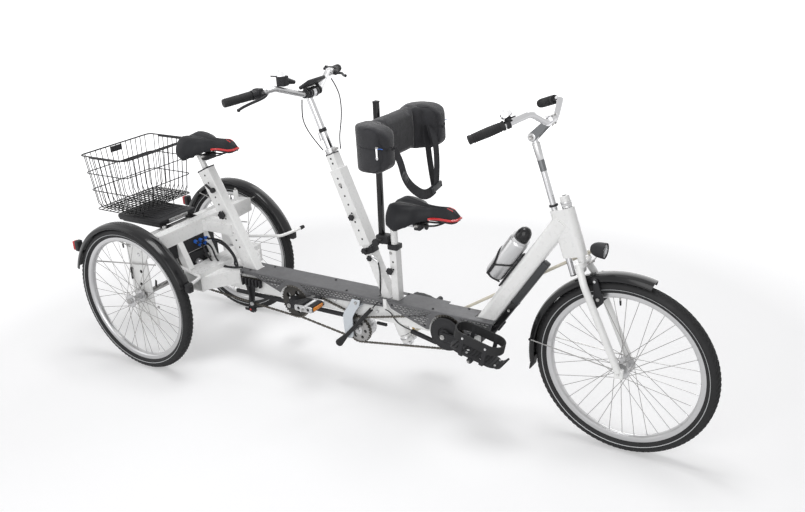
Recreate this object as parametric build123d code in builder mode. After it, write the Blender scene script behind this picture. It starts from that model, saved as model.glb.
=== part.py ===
from build123d import *
import math
import os

# Tandem therapy tricycle: two riders in line, one steered front wheel and two rear wheels.
# Millimetres. X points forward, Y to the left and Z up; the origin is on the floor
# under the middle of the whole tricycle.

os.makedirs("parts", exist_ok=True)

# Overall sizes
LENGTH = 2800
WHEELBASE = 2092
TRACK = 684
TYRE_R = 330
TYRE_SECTION_R = 25
FRONT_X = LENGTH / 2 - TYRE_R
REAR_X = FRONT_X - WHEELBASE
HALF_TRACK = TRACK / 2

# Wheels
RIM_OUTER_R = 286
RIM_INNER_R = 266
RIM_HALF_WIDTH = 16
SPOKES = 36
SPOKE_SIZE = 2.6
FLANGE_R = 29
FLANGE_Y = 28

# Steering: the fork turns about the head axis, the rear rider's bar about the column axis
HEAD_LEAN = 17
COLUMN_LEAN = 21.7
HEAD_BASE = Vector(906, 0, 717)
COLUMN_BASE = Vector(90, 0, 430)
STEER_ARM = 62
ARM_Z_FORK = 715
ARM_Z_COLUMN = 246
LINK_R = 6
ARM_DROP = 18
POST_BEHIND = 48
POST_R = 11.1
STEERER_R = 14.3
STEERER_BORE_R = 14.35

# Frame tubes
BOOM_WIDTH = 60
BOOM_Z = (312, 412)
BOOM_X = (-752, 520)
DOWN_TUBE_FOOT = Vector(490, 0, 345)
DOWN_TUBE_HEAD = Vector(838, 0, 842)
DOWN_TUBE_DEPTH = 66
DOWN_TUBE_WIDTH = 50
SEAT_TUBE_LEAN = 25.7
SEAT_TUBE_BASE = Vector(-632, 0, 430)

# Cranks
CRANK_LENGTH = 170
ARM_INNER_Y = 76
ARM_OUTER_Y = 92
REAR_CRANK = Vector(-362, 0, 320)
FRONT_CRANK = Vector(388, 0, 337)
REAR_ARM_ANGLE = 20
FRONT_ARM_ANGLE = -4
RING_A_Y = -46
RING_B_Y = -37
RING_THICKNESS = 3
RING_R = 71
CHAIN_PITCH = 12.7
MID_SPROCKET = Vector(-39, 0, 256)
MID_SPROCKET_R = 54
REAR_SPROCKET_R = 40


def lean_up(angle):
    """Direction of an axis that points up and leans back by the angle."""
    return Vector(-math.sin(math.radians(angle)), 0, math.cos(math.radians(angle)))


def at_height(base, angle, height):
    """Point at a height on an axis that leans back through the base point."""
    return Vector(base.X - (height - base.Z) * math.tan(math.radians(angle)), 0, height)


def leaning_plane(origin, angle):
    """Plane square to a leaning axis: its x runs forward and its y to the left."""
    return Plane(origin=origin, x_dir=lean_up(angle - 90), z_dir=lean_up(angle))


def head_plane(height):
    return leaning_plane(at_height(HEAD_BASE, HEAD_LEAN, height), HEAD_LEAN)


def column_plane(height):
    return leaning_plane(at_height(COLUMN_BASE, COLUMN_LEAN, height), COLUMN_LEAN)


def across(point, left):
    """The same point moved to the left by an amount."""
    return Vector(point.X, point.Y + left, point.Z)


def rod(points, radius, bend=0, bore=0, sides=0):
    """Round or many-sided bar along a path of straight runs and tangent arcs."""
    with BuildPart() as made:
        with BuildLine() as path:
            if bend:
                FilletPolyline(*points, radius=bend)
            else:
                Polyline(*points)
        with BuildSketch(Plane(origin=path.line @ 0, z_dir=path.line % 0)):
            if sides:
                RegularPolygon(radius, sides)
            else:
                Circle(radius)
            if bore:
                Circle(bore, mode=Mode.SUBTRACT)
        sweep()
    return made.part


def wire(points, size):
    """Thin square bar along straight runs, for wires and stays."""
    with BuildPart() as made:
        with BuildLine() as path:
            Polyline(*points)
        with BuildSketch(Plane(origin=path.line @ 0, z_dir=path.line % 0)):
            Rectangle(size, size)
        sweep(transition=Transition.RIGHT)
    return made.part


def bar(start, end, width, depth, wall=0, fillet_r=0):
    """Straight box tube between two points: width across Y, depth in the XZ plane."""
    along = Vector(*end) - Vector(*start)
    with BuildPart() as made:
        with BuildSketch(Plane(origin=start, x_dir=(0, 1, 0), z_dir=along)):
            if fillet_r:
                RectangleRounded(width, depth, fillet_r)
            else:
                Rectangle(width, depth)
            if wall:
                Rectangle(width - 2 * wall, depth - 2 * wall, mode=Mode.SUBTRACT)
        extrude(amount=along.length)
    return made.part


def block(low, high):
    """Box between two corners."""
    size = [b - a for a, b in zip(low, high)]
    middle = [(a + b) / 2 for a, b in zip(low, high)]
    with BuildPart() as made:
        with Locations(tuple(middle)):
            Box(*size)
    return made.part


def disc(centre, radius, y_from, y_to, bore=0):
    """Disc or ring about an axis across the tricycle, between two widths."""
    with BuildPart() as made:
        with BuildSketch(Plane(origin=(centre.X, y_from, centre.Z), x_dir=(1, 0, 0), z_dir=(0, 1, 0))):
            Circle(radius)
            if bore:
                Circle(bore, mode=Mode.SUBTRACT)
        extrude(amount=y_to - y_from)
    return made.part


def side_plate(outline, y_from, y_to):
    """Plate with an outline in X and Z, between two widths."""
    with BuildPart() as made:
        with BuildSketch(Plane(origin=(0, y_from, 0), x_dir=(1, 0, 0), z_dir=(0, -1, 0))):
            with BuildLine():
                Polyline(*outline, close=True)
            make_face()
        extrude(amount=y_from - y_to)
    return made.part


def turned(profile, origin, axis):
    """Turned solid from pairs of radius and distance along an axis that is square to Y."""
    with BuildPart() as made:
        with BuildSketch(Plane(origin=origin, x_dir=(0, 1, 0), z_dir=Vector(0, 1, 0).cross(Vector(*axis)))):
            with BuildLine():
                Polyline(*profile, close=True)
            make_face()
        revolve(axis=Axis(origin, axis))
    return made.part


def toothed_ring(centre, chain_r, y, bore=0):
    """Chain ring with one tooth per link, its tips just inside the chain, and round windows where it is wide."""
    teeth = round(math.tau * chain_r / CHAIN_PITCH)
    outline = []
    for number in range(teeth):
        for share, depth in ((-0.34, 9), (-0.12, 3.6), (0.12, 3.6), (0.34, 9)):
            turn = math.tau * (number + share) / teeth
            outline.append(((chain_r - depth) * math.cos(turn), (chain_r - depth) * math.sin(turn)))
    with BuildPart() as made:
        with BuildSketch(Plane(origin=(centre.X, y - RING_THICKNESS / 2, centre.Z), x_dir=(1, 0, 0), z_dir=(0, 1, 0))):
            with BuildLine():
                Polyline(*outline, close=True)
            make_face()
            if chain_r > 50:
                with PolarLocations(chain_r * 0.62, 5):
                    RegularPolygon(chain_r * 0.14, 8, mode=Mode.SUBTRACT)
        extrude(amount=RING_THICKNESS)
    return made.part


def collect(*pieces):
    """Fuse pieces that carry each other, or gather pieces that don't touch."""
    with BuildPart() as made:
        for piece in pieces:
            add(piece)
    return made.part


def save(part, name):
    part.label = name
    export_step(part, f"parts/{name}.step")


# Wheels, made once about the origin
with BuildPart() as tyre:
    with BuildSketch():
        with Locations((TYRE_R - TYRE_SECTION_R, 0)):
            RegularPolygon(TYRE_SECTION_R, 8, major_radius=False, rotation=22.5)
        with Locations((RIM_OUTER_R - 20, 0)):
            Rectangle(40, 60, mode=Mode.SUBTRACT)
    revolve(axis=Axis.Y)


def spoke(angle, side, lead):
    """One spoke from its hub flange to the flat of the rim bed that it meets."""
    foot = math.radians(angle + lead)
    head = math.radians(angle)
    start = (FLANGE_R * 0.86 * math.cos(foot), side * FLANGE_Y, FLANGE_R * 0.86 * math.sin(foot))
    end = ((RIM_INNER_R + 3) * math.cos(head), side * 3, (RIM_INNER_R + 3) * math.sin(head))
    return rod([start, end], SPOKE_SIZE / 2, sides=3)


def spoked_wheel(axle_r, half_hub):
    """Rim, spokes and hub shell about the origin, bored for its axle."""
    with BuildPart() as made:
        with BuildSketch():
            with BuildLine():
                Polyline(
                    (RIM_OUTER_R, RIM_HALF_WIDTH), (RIM_INNER_R + 8, RIM_HALF_WIDTH),
                    (RIM_INNER_R, 8), (RIM_INNER_R, -8),
                    (RIM_INNER_R + 8, -RIM_HALF_WIDTH), (RIM_OUTER_R, -RIM_HALF_WIDTH), close=True,
                )
            make_face()
        revolve(axis=Axis.Y)
        with BuildSketch(Plane.XZ.offset(-8)):
            RegularPolygon(RIM_INNER_R + 1, SPOKES, major_radius=False, rotation=180 / SPOKES)
        extrude(amount=16, mode=Mode.SUBTRACT)
        for y_from, y_to, radius in ((-half_hub, half_hub, 17), (-FLANGE_Y - 2, -FLANGE_Y + 2, FLANGE_R),
                                     (FLANGE_Y - 2, FLANGE_Y + 2, FLANGE_R)):
            with BuildSketch(Plane.XZ.offset(-y_to)):
                RegularPolygon(radius, SPOKES // 2, major_radius=False)
            extrude(amount=y_to - y_from)
        spokes = []
        for number in range(SPOKES):
            side = 1 if number % 2 else -1
            lead = 55 if number % 4 < 2 else -55
            spokes.append(spoke(number * 360 / SPOKES, side, lead))
        add(spokes)
        with BuildSketch(Plane.XZ.offset(-half_hub)):
            Circle(axle_r)
        extrude(amount=2 * half_hub, mode=Mode.SUBTRACT)
    return made.part


FRONT_AXLE_R = 5
REAR_AXLE_R = 10
AXLE_PLAY = 0.3
front_rim = spoked_wheel(FRONT_AXLE_R + AXLE_PLAY, 40)
rear_rim = spoked_wheel(REAR_AXLE_R + AXLE_PLAY, 36)
WHEEL_PLACES = (
    # name, x, y, rim
    ("front", FRONT_X, 0, front_rim),
    ("rear_left", REAR_X, HALF_TRACK, rear_rim),
    ("rear_right", REAR_X, -HALF_TRACK, rear_rim),
)
for name, x, y, rim in WHEEL_PLACES:
    save(Pos(x, y, TYRE_R) * tyre.part, f"{name}_tyre")
    save(Pos(x, y, TYRE_R) * rim, f"{name}_rim")

# Main frame: boom, down tube, head lug and the feet of the masts
HEAD_LUG_Z = (727, 893)
with BuildPart() as main_frame:
    boom_z = (BOOM_Z[0] + BOOM_Z[1]) / 2
    add(bar((BOOM_X[0], 0, boom_z), (BOOM_X[1], 0, boom_z), BOOM_WIDTH, BOOM_Z[1] - BOOM_Z[0], fillet_r=5))
    add(bar(DOWN_TUBE_FOOT, DOWN_TUBE_HEAD, DOWN_TUBE_WIDTH, DOWN_TUBE_DEPTH, fillet_r=20))
    with BuildSketch(head_plane(HEAD_LUG_Z[0])) as lug_section:
        with BuildLine():
            front = Line((0, 24), (-POST_BEHIND, 18))
            back = ThreePointArc((-POST_BEHIND, 18), (-POST_BEHIND - 18, 0), (-POST_BEHIND, -18))
            Line((-POST_BEHIND, -18), (0, -24))
            ThreePointArc((0, -24), (24, 0), (0, 24))
        make_face()
    extrude(amount=(HEAD_LUG_Z[1] - HEAD_LUG_Z[0]) / math.cos(math.radians(HEAD_LEAN)))
    # Shells for the cranks and the foot of the steering column
    for shell in (REAR_CRANK, FRONT_CRANK):
        add(disc(shell, 23, -34, 34))
    add(rod([at_height(COLUMN_BASE, COLUMN_LEAN, 400), at_height(COLUMN_BASE, COLUMN_LEAN, 262)], 26))
    # Bores for the steerer, the handlebar post, the crank axles and the column
    with BuildSketch(head_plane(600)):
        Circle(STEERER_BORE_R)
        with Locations((-POST_BEHIND, 0)):
            Circle(POST_R)
    extrude(amount=400, mode=Mode.SUBTRACT)
    for shell in (REAR_CRANK, FRONT_CRANK):
        add(disc(shell, 11, -40, 40), mode=Mode.SUBTRACT)
    add(
        rod([at_height(COLUMN_BASE, COLUMN_LEAN, 500), at_height(COLUMN_BASE, COLUMN_LEAN, 200)], 15),
        mode=Mode.SUBTRACT,
    )
save(main_frame.part, "main_frame")

# Steering mast: foot tube and the sleeve that slides on it
MAST_TUBE = 40
MAST_SLEEVE = 52
with BuildPart() as steering_mast:
    add(bar(at_height(COLUMN_BASE, COLUMN_LEAN, 412), at_height(COLUMN_BASE, COLUMN_LEAN, 985), MAST_TUBE, MAST_TUBE))
    add(bar(at_height(COLUMN_BASE, COLUMN_LEAN, 630), at_height(COLUMN_BASE, COLUMN_LEAN, 925), MAST_SLEEVE, MAST_SLEEVE))
    add(rod([at_height(COLUMN_BASE, COLUMN_LEAN, 380), at_height(COLUMN_BASE, COLUMN_LEAN, 1010)], 15), mode=Mode.SUBTRACT)
    split(bisect_by=Plane.XY.offset(BOOM_Z[1]), keep=Keep.TOP)
save(steering_mast.part, "steering_mast")


# Cable down the rear face of the mast
MAST_CABLE_GAP = 5
mast_cable_route = []
for height, off in ((975, MAST_TUBE / 2), (945, MAST_TUBE / 2), (915, MAST_SLEEVE / 2), (640, MAST_SLEEVE / 2),
                    (610, MAST_TUBE / 2), (440, MAST_TUBE / 2)):
    spot = at_height(COLUMN_BASE, COLUMN_LEAN, height)
    mast_cable_route.append(spot - lean_up(COLUMN_LEAN - 90) * (off + MAST_CABLE_GAP))
save(rod(mast_cable_route, 2.5, bend=12, sides=6), "mast_cable")


# Front seat tube, its post, and the clamp of the backrest post
FRONT_SEAT_X = 136
BACKREST_FOOT = Vector(78, 0, 640)
BACKREST_TOP = Vector(94, 0, 1205)
front_seat_tube = collect(
    bar((FRONT_SEAT_X, 0, BOOM_Z[1]), (FRONT_SEAT_X, 0, 640), 40, 32, fillet_r=4),
    rod([(FRONT_SEAT_X, 0, 640), (FRONT_SEAT_X, 0, 729)], 14),
)
save(front_seat_tube, "front_seat_tube")
front_saddle_bar = collect(
    rod([(FRONT_SEAT_X - 20, 0, 740), (FRONT_SEAT_X + 150, 0, 740)], 11),
    disc(Vector(225, 0, 748), 11, -20, 20),
)
save(front_saddle_bar, "front_saddle_bar")
backrest_post = collect(
    bar(BACKREST_FOOT, BACKREST_TOP, 20, 20),
    block((68, -20, 650), (FRONT_SEAT_X - 20, 20, 675)),
)
save(backrest_post, "backrest_post")

# Backrest cushion: a roll that wraps forward round the rider at both ends
CUSHION_Z = (994, 1172)
CUSHION_X = (108, 285)
CUSHION_HALF = 230
CUSHION_THICK = 75
with BuildPart() as backrest_cushion:
    with BuildSketch(Plane.XY.offset(CUSHION_Z[0])):
        with Locations(((CUSHION_X[0] + CUSHION_X[1] + 150) / 2, 0)):
            RectangleRounded(CUSHION_X[1] - CUSHION_X[0] + 150, 2 * CUSHION_HALF, 80)
        with Locations(((CUSHION_X[0] + CUSHION_X[1] + 150) / 2 + CUSHION_THICK, 0)):
            RectangleRounded(CUSHION_X[1] - CUSHION_X[0] + 150, 2 * CUSHION_HALF - 200, 50, mode=Mode.SUBTRACT)
        with Locations((CUSHION_X[1] + 150, 0)):
            Rectangle(300, 600, mode=Mode.SUBTRACT)
    extrude(amount=CUSHION_Z[1] - CUSHION_Z[0])
save(backrest_cushion.part, "backrest_cushion")

# Rear seat tube and the frame that carries the rear wheels
SEAT_TUBE_DEPTH = 70
SEAT_TUBE_WIDTH = 46
TOP_BEAM_X = (-922, -870)
TOP_BEAM_Z = (556, 620)
TOP_BEAM_HALF = 285
LOWER_BEAM_X = (-852, -752)
LOWER_BEAM_Z = (352, 437)
LOWER_BEAM_HALF = 198
PLATE_Y = (285, 293)
with BuildPart() as rear_seat_tube:
    add(bar(at_height(SEAT_TUBE_BASE, SEAT_TUBE_LEAN, 380), at_height(SEAT_TUBE_BASE, SEAT_TUBE_LEAN, 845),
            SEAT_TUBE_WIDTH, SEAT_TUBE_DEPTH, fillet_r=5))
    add(block((-870, -32, 565), (-700, 32, 612)))
    split(bisect_by=Plane.XY.offset(BOOM_Z[1]), keep=Keep.TOP)
    add(rod([at_height(SEAT_TUBE_BASE, SEAT_TUBE_LEAN, 845), at_height(SEAT_TUBE_BASE, SEAT_TUBE_LEAN, 921)], 13.6))
save(rear_seat_tube.part, "rear_seat_tube")

with BuildPart() as rear_frame:
    add(block((TOP_BEAM_X[0], -TOP_BEAM_HALF, TOP_BEAM_Z[0]), (TOP_BEAM_X[1], TOP_BEAM_HALF, TOP_BEAM_Z[1])))
    add(block((LOWER_BEAM_X[0], -LOWER_BEAM_HALF, LOWER_BEAM_Z[0]), (LOWER_BEAM_X[1], LOWER_BEAM_HALF, LOWER_BEAM_Z[1])))
    add(block((LOWER_BEAM_X[0] + 4, -LOWER_BEAM_HALF - 1, LOWER_BEAM_Z[0] + 4),
              (LOWER_BEAM_X[1] - 4, LOWER_BEAM_HALF + 1, LOWER_BEAM_Z[1] - 4)), mode=Mode.SUBTRACT)
    add(block((-880, RING_A_Y - 9, 362), (-740, RING_A_Y + 9, 400)), mode=Mode.SUBTRACT)
    for side in (-1, 1):
        add(bar((-890, side * 178, TOP_BEAM_Z[0] + 5), (-835, side * 178, LOWER_BEAM_Z[1] - 2), 30, 34))
        low, high = sorted((side * PLATE_Y[0], side * PLATE_Y[1]))
        add(side_plate(((-1085, 575), (-870, 620), (-870, 556), (-975, 500), (-965, 185), (-1085, 175)), low, high))
    add(block((-1085, -285, 536), (-1055, 285, 563)))
save(rear_frame.part, "rear_frame")

# Gusset boxes from the lower beam into the boom
with BuildPart() as boom_gusset:
    with BuildSketch(Plane.XY.offset(356)):
        with BuildLine():
            Polyline((-752, 30), (-752, 190), (-640, 30), close=True)
        make_face()
        mirror(about=Plane.XZ)
    extrude(amount=60)
    add(block((-760, RING_A_Y - 9, 362), (-600, RING_A_Y + 9, 400)), mode=Mode.SUBTRACT)
save(boom_gusset.part, "boom_gussets")

# Cross shaft, gear case and stub axles between the rear wheels
rear_axle = collect(
    disc(Vector(REAR_X, 0, TYRE_R), 12, -PLATE_Y[0], PLATE_Y[0]),
    disc(Vector(REAR_X, 0, TYRE_R), 55, -30, 60),
    toothed_ring(Vector(REAR_X, 0, TYRE_R), REAR_SPROCKET_R, RING_A_Y),
    disc(Vector(REAR_X, 0, TYRE_R), REAR_AXLE_R, PLATE_Y[1], HALF_TRACK + 40),
    disc(Vector(REAR_X, 0, TYRE_R), REAR_AXLE_R, -HALF_TRACK - 40, -PLATE_Y[1]),
)
save(rear_axle, "rear_axle")

# Rack, its battery case and the wire basket
RACK_RAIL_Y = 80
rack_pieces = [block((-1335, -113, 577), (-1055, 113, 605))]
for side in (-1, 1):
    low, high = sorted((side * (RACK_RAIL_Y - 10), side * (RACK_RAIL_Y + 10)))
    rack_pieces.append(block((-1330, low, 563), (TOP_BEAM_X[0], high, 577)))
battery_rack = collect(*rack_pieces)
save(battery_rack, "battery_rack")
BASKET_TOP = (-LENGTH / 2 + 2, -1120, 208)
BASKET_FLOOR = (-1386, -1140, 180)
BASKET_Z = (645, 905)
WIRE = 4


def basket_ring(share):
    """Half extents of the basket at a share of its height, as x from, x to and half width."""
    return [a + (b - a) * share for a, b in zip(BASKET_FLOOR, BASKET_TOP)]


def basket_hoop(share, size):
    x_from, x_to, half = basket_ring(share)
    z = BASKET_Z[0] + (BASKET_Z[1] - BASKET_Z[0]) * share
    with BuildPart() as made:
        with BuildSketch(Plane.XY.offset(z - size / 2)):
            with Locations(((x_from + x_to) / 2, 0)):
                Rectangle(x_to - x_from + size, 2 * half + size)
                Rectangle(x_to - x_from - size, 2 * half - size, mode=Mode.SUBTRACT)
        extrude(amount=size)
    return made.part


LONG_WIRES = 6
CROSS_WIRES = 7
with BuildPart() as basket:
    for share in (0, 0.36, 0.68, 1):
        add(basket_hoop(share, WIRE))
    wires = []
    for number in range(1, LONG_WIRES):
        y = BASKET_FLOOR[2] * (2 * number / LONG_WIRES - 1)
        top_y = BASKET_TOP[2] * (2 * number / LONG_WIRES - 1)
        wires.append(wire([(BASKET_TOP[0], top_y, BASKET_Z[1]), (BASKET_FLOOR[0], y, BASKET_Z[0]),
                           (BASKET_FLOOR[1], y, BASKET_Z[0]), (BASKET_TOP[1], top_y, BASKET_Z[1])], WIRE - 1))
    for number in range(CROSS_WIRES + 1):
        share = number / CROSS_WIRES
        x = BASKET_FLOOR[0] + (BASKET_FLOOR[1] - BASKET_FLOOR[0]) * share
        top_x = BASKET_TOP[0] + (BASKET_TOP[1] - BASKET_TOP[0]) * share
        wires.append(wire([(top_x, BASKET_TOP[2], BASKET_Z[1]), (x, BASKET_FLOOR[2], BASKET_Z[0]),
                           (x, -BASKET_FLOOR[2], BASKET_Z[0]), (top_x, -BASKET_TOP[2], BASKET_Z[1])], WIRE - 1))
    cross_step = (BASKET_FLOOR[1] - BASKET_FLOOR[0]) / CROSS_WIRES
    rear_foot_x, front_foot_x = BASKET_FLOOR[0] + 2 * cross_step, BASKET_FLOOR[0] + 6 * cross_step
    for y in (-95, 95):
        wires.append(wire([(rear_foot_x, y, BASKET_Z[0]), (rear_foot_x, y, 607),
                           (front_foot_x, y, 607), (front_foot_x, y, BASKET_Z[0])], WIRE))
    add(wires)
save(basket.part, "basket")


# Mudguards
def mudguard(centre, outer_r, half_width, start, end):
    """Channel-section guard over a wheel between two angles from the forward direction."""
    turn = math.radians(start)
    plane = Plane(
        origin=centre,
        x_dir=(math.cos(turn), 0, math.sin(turn)),
        z_dir=(-math.sin(turn), 0, math.cos(turn)),
    )
    with BuildPart() as made:
        with BuildSketch(plane):
            for inward, mode in ((0, Mode.ADD), (2, Mode.SUBTRACT)):
                with BuildLine():
                    Polyline(
                        (outer_r - 22 - inward, half_width - inward), (outer_r - 6 - inward, half_width - 4 - inward),
                        (outer_r - inward, half_width - 18), (outer_r - inward, 18 - half_width),
                        (outer_r - 6 - inward, 4 + inward - half_width), (outer_r - 22 - inward, inward - half_width),
                        close=True,
                    )
                make_face(mode=mode)
        revolve(axis=Axis(centre, (0, -1, 0)), revolution_arc=end - start)
    return made.part


REAR_GUARD_R = 351
FRONT_GUARD_R = 357
GUARD_HALF = 32
STAY = 4
for name, side in (("left", 1), ("right", -1)):
    centre = Vector(REAR_X, side * HALF_TRACK, TYRE_R)
    pieces = [mudguard(centre, REAR_GUARD_R, GUARD_HALF, 19, 163)]
    # Stays from the axle plate to the guard's inner edge
    for angle, root_x, root_z in ((60, -900, 590), (128, -1070, 555)):
        turn = math.radians(angle)
        tip = centre + Vector(337 * math.cos(turn), -side * (GUARD_HALF - 2), 337 * math.sin(turn))
        pieces.append(wire([(root_x, side * (PLATE_Y[1] + 2.6), root_z), tuple(tip)], STAY))
    save(collect(*pieces), f"rear_mudguard_{name}")
front_guard = [
    mudguard(Vector(FRONT_X, 0, TYRE_R), FRONT_GUARD_R, GUARD_HALF, 74, 188),
    block((900, -10, 645), (912, 10, 667.5)),
]
for side in (-1, 1):
    front_guard.append(wire([(1048, side * 57, 346), (722, side * 31, 377)], STAY))
save(collect(*front_guard), "front_mudguard")

# Fork with its crown, blades, axle and steering arm
ARM_PIN_FORK = across(at_height(HEAD_BASE, HEAD_LEAN, ARM_Z_FORK), STEER_ARM)
ARM_PIN_COLUMN = across(at_height(COLUMN_BASE, COLUMN_LEAN, ARM_Z_COLUMN), STEER_ARM)
with BuildPart() as fork:
    add(rod([at_height(HEAD_BASE, HEAD_LEAN, 690), at_height(HEAD_BASE, HEAD_LEAN, 900)], STEERER_R))
    add(rod([at_height(HEAD_BASE, HEAD_LEAN, 900), at_height(HEAD_BASE, HEAD_LEAN, 934)], 17))
    with BuildSketch(head_plane(692)):
        RectangleRounded(36, 84, 12)
    extrude(amount=16)
    for side in (-1, 1):
        add(rod([(910, side * 34, 700), (938, side * 56, 640), (1068, side * 56, 336)], 13, bend=60))
        add(block((1054, min(side * 50, side * 60), 314), (1086, max(side * 50, side * 60), 350)))
    add(disc(Vector(FRONT_X, 0, TYRE_R), FRONT_AXLE_R, -70, 70))
    # Steering arm from the crown to the drag link's pin
    add(rod([at_height(HEAD_BASE, HEAD_LEAN, ARM_Z_FORK - ARM_DROP), across(at_height(HEAD_BASE, HEAD_LEAN, ARM_Z_FORK - ARM_DROP), STEER_ARM)], 7))
    add(rod([across(at_height(HEAD_BASE, HEAD_LEAN, ARM_Z_FORK - ARM_DROP), STEER_ARM), across(at_height(HEAD_BASE, HEAD_LEAN, ARM_Z_FORK + 8), STEER_ARM)], 4))
    add(block((FRONT_X - 176, -12, 668), (FRONT_X - 150, 12, 700)))
save(fork.part, "fork")

# Rim brakes: an arm inside each blade, with its pad beside the rim
brake_pieces = []
for side in (-1, 1):
    low, high = sorted((side * 33, side * 43))
    brake_pieces.append(side_plate(((958, 556), (976, 552), (1002, 580), (998, 606), (978, 664), (963, 664), (968, 606)), low, high))
    brake_pieces.append(bar((995, side * 27.5, 595), (965, side * 27.5, 585), 11, 12))
save(collect(*brake_pieces), "rim_brakes")
headlight = collect(
    turned([(0, -24), (12, -22), (21, -12), (26, 8), (28, 26), (28, 30), (13, 33), (0, 34)], Vector(960, 0, 757), (1, 0, 0)),
    bar((962, 0, 736), (930, 0, 705.1), 14, 4),
)
save(headlight, "headlight")

# Drag link between the steering arms
with BuildPart() as drag_link:
    link_run = ARM_PIN_FORK - ARM_PIN_COLUMN
    add(rod([ARM_PIN_COLUMN + link_run * 0.009, ARM_PIN_FORK - link_run * 0.009], LINK_R))
    for pin, plane_at in ((ARM_PIN_FORK, head_plane(ARM_Z_FORK)), (ARM_PIN_COLUMN, column_plane(ARM_Z_COLUMN))):
        with BuildSketch(Plane(origin=pin - plane_at.z_dir * 5, x_dir=plane_at.x_dir, z_dir=plane_at.z_dir)):
            Circle(10)
        extrude(amount=10)
    # The rear eye has play, because the two steering axes don't lean alike
    for pin, plane_at, bore_r in ((ARM_PIN_FORK, head_plane(ARM_Z_FORK), 4.1),
                                  (ARM_PIN_COLUMN, column_plane(ARM_Z_COLUMN), 5)):
        with BuildSketch(Plane(origin=pin - plane_at.z_dir * 20, x_dir=plane_at.x_dir, z_dir=plane_at.z_dir)):
            Circle(bore_r)
        extrude(amount=40, mode=Mode.SUBTRACT)
save(drag_link.part, "drag_link")

# Rear rider's steering column, with the handlebar on top and the steering arm below
COLUMN_R = 14
REAR_BAR_Z = 1222
with BuildPart() as steering_column:
    add(rod([at_height(COLUMN_BASE, COLUMN_LEAN, 220), at_height(COLUMN_BASE, COLUMN_LEAN, REAR_BAR_Z + 5)], COLUMN_R))
    add(rod([at_height(COLUMN_BASE, COLUMN_LEAN, 220), at_height(COLUMN_BASE, COLUMN_LEAN, 256)], 22))
    add(rod([at_height(COLUMN_BASE, COLUMN_LEAN, ARM_Z_COLUMN - ARM_DROP), across(at_height(COLUMN_BASE, COLUMN_LEAN, ARM_Z_COLUMN - ARM_DROP), STEER_ARM)], 7))
    add(rod([across(at_height(COLUMN_BASE, COLUMN_LEAN, ARM_Z_COLUMN - ARM_DROP), STEER_ARM), across(at_height(COLUMN_BASE, COLUMN_LEAN, ARM_Z_COLUMN + 8), STEER_ARM)], 4))
    add(disc(Vector(-203, 0, REAR_BAR_Z), 20, -22, 22))
REAR_BAR_HALF = (
    # x, y, z from the clamp to the grip's end
    (-203, 0, REAR_BAR_Z), (-203, 48, REAR_BAR_Z), (-246, 160, 1264), (-332, 350, 1244),
)
FRONT_BAR_HALF = (
    (790, 0, 1192), (792, 42, 1192), (774, 120, 1236), (728, 188, 1216), (631, 272, 1175),
)


def handlebar(half, radius, bend):
    left = [(x, y, z) for x, y, z in half[1:]]
    right = [(x, -y, z) for x, y, z in reversed(half[1:])]
    return rod(right + left, radius, bend, sides=12)


BAR_R = 11.1


def grip(half, radius, length):
    """Grip over the outer end of each side of a handlebar."""
    inner, end = Vector(*half[-2]), Vector(*half[-1])
    start = end - (end - inner).normalized() * length
    tip = end + (end - inner).normalized() * 3
    pieces = []
    for side in (1, -1):
        pieces.append(rod([(start.X, side * start.Y, start.Z), (tip.X, side * tip.Y, tip.Z)], radius, bore=BAR_R))
    return pieces


rear_bar = handlebar(REAR_BAR_HALF, BAR_R, 45)
front_bar = handlebar(FRONT_BAR_HALF, BAR_R, 38)
for name, half, length in (("rear", REAR_BAR_HALF, 110), ("front", FRONT_BAR_HALF, 122)):
    save(collect(grip(half, 16, length)), f"{name}_grips")

save(rear_bar, "rear_handlebar")


def on_bar(half, side, back):
    """Point on one side of a bar, some way back from its end, and the direction outwards."""
    inner, end = (Vector(x, y * side, z) for x, y, z in half[-2:])
    outward = (end - inner).normalized()
    return end - outward * back, outward


def bell(origin, height):
    """Domed bell on a stem that reaches down to its bar."""
    return turned([(0, -height), (8, -height), (8, 0), (19, 0), (18, 9), (14, 17), (8, 22), (0, 24)], origin, (0, 0, 1))


# Brake levers, gear shifter, bell and display of the rear bar, bored for it
with BuildPart() as rear_controls:
    for side in (-1, 1):
        spot, outward = on_bar(REAR_BAR_HALF, side, 140)
        ahead = (Vector(1, 0, 0) - outward * outward.X).normalized()
        root = spot + ahead * 30 + Vector(0, 0, -8)
        add(rod([spot - outward * 14, spot + outward * 14], 17, sides=12))
        add(bar(spot, root, 20, 18))
        add(wire([root - ahead * 6, root + ahead * 4 + outward * 40, root - ahead * 4 + outward * 86 + Vector(0, 0, -10),
                  root + outward * 108 + Vector(0, 0, -14)], 9))
    add(block((-250, -152, 1248), (-216, -122, 1288)))
    add(bell(Vector(-234, -138, 1288), 20))
    screen_run = Vector(math.cos(math.radians(30)), 0, math.sin(math.radians(30)))
    screen = Vector(-201, 6, REAR_BAR_Z + 36)
    add(bar(screen - screen_run * 32, screen + screen_run * 32, 104, 14, fillet_r=5))
    for y in (-34, 34):
        add(block((-212, y - 7, REAR_BAR_Z - 4), (-194, y + 7, REAR_BAR_Z + 30)))
    add(rear_bar, mode=Mode.SUBTRACT)
save(rear_controls.part, "rear_controls")

# Brake and shifter cables from the levers to the foot of the stem
CABLE_R = 2.5
rear_cables = []
for route in (
    ((-232, 168, 1240), (-180, 140, 1205), (-146, 106, 1152), (-126, 70, 1096), (-116, 34, 1040), (-104, 22, 1000)),
    ((-204, -62, 1205), (-214, -58, 1160), (-218, -50, 1112), (-200, -38, 1064), (-172, -26, 1020), (-156, -22, 1000)),
):
    rear_cables.append(rod(route, CABLE_R, bend=20, sides=6))
save(collect(*rear_cables), "rear_bar_cables")

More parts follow.
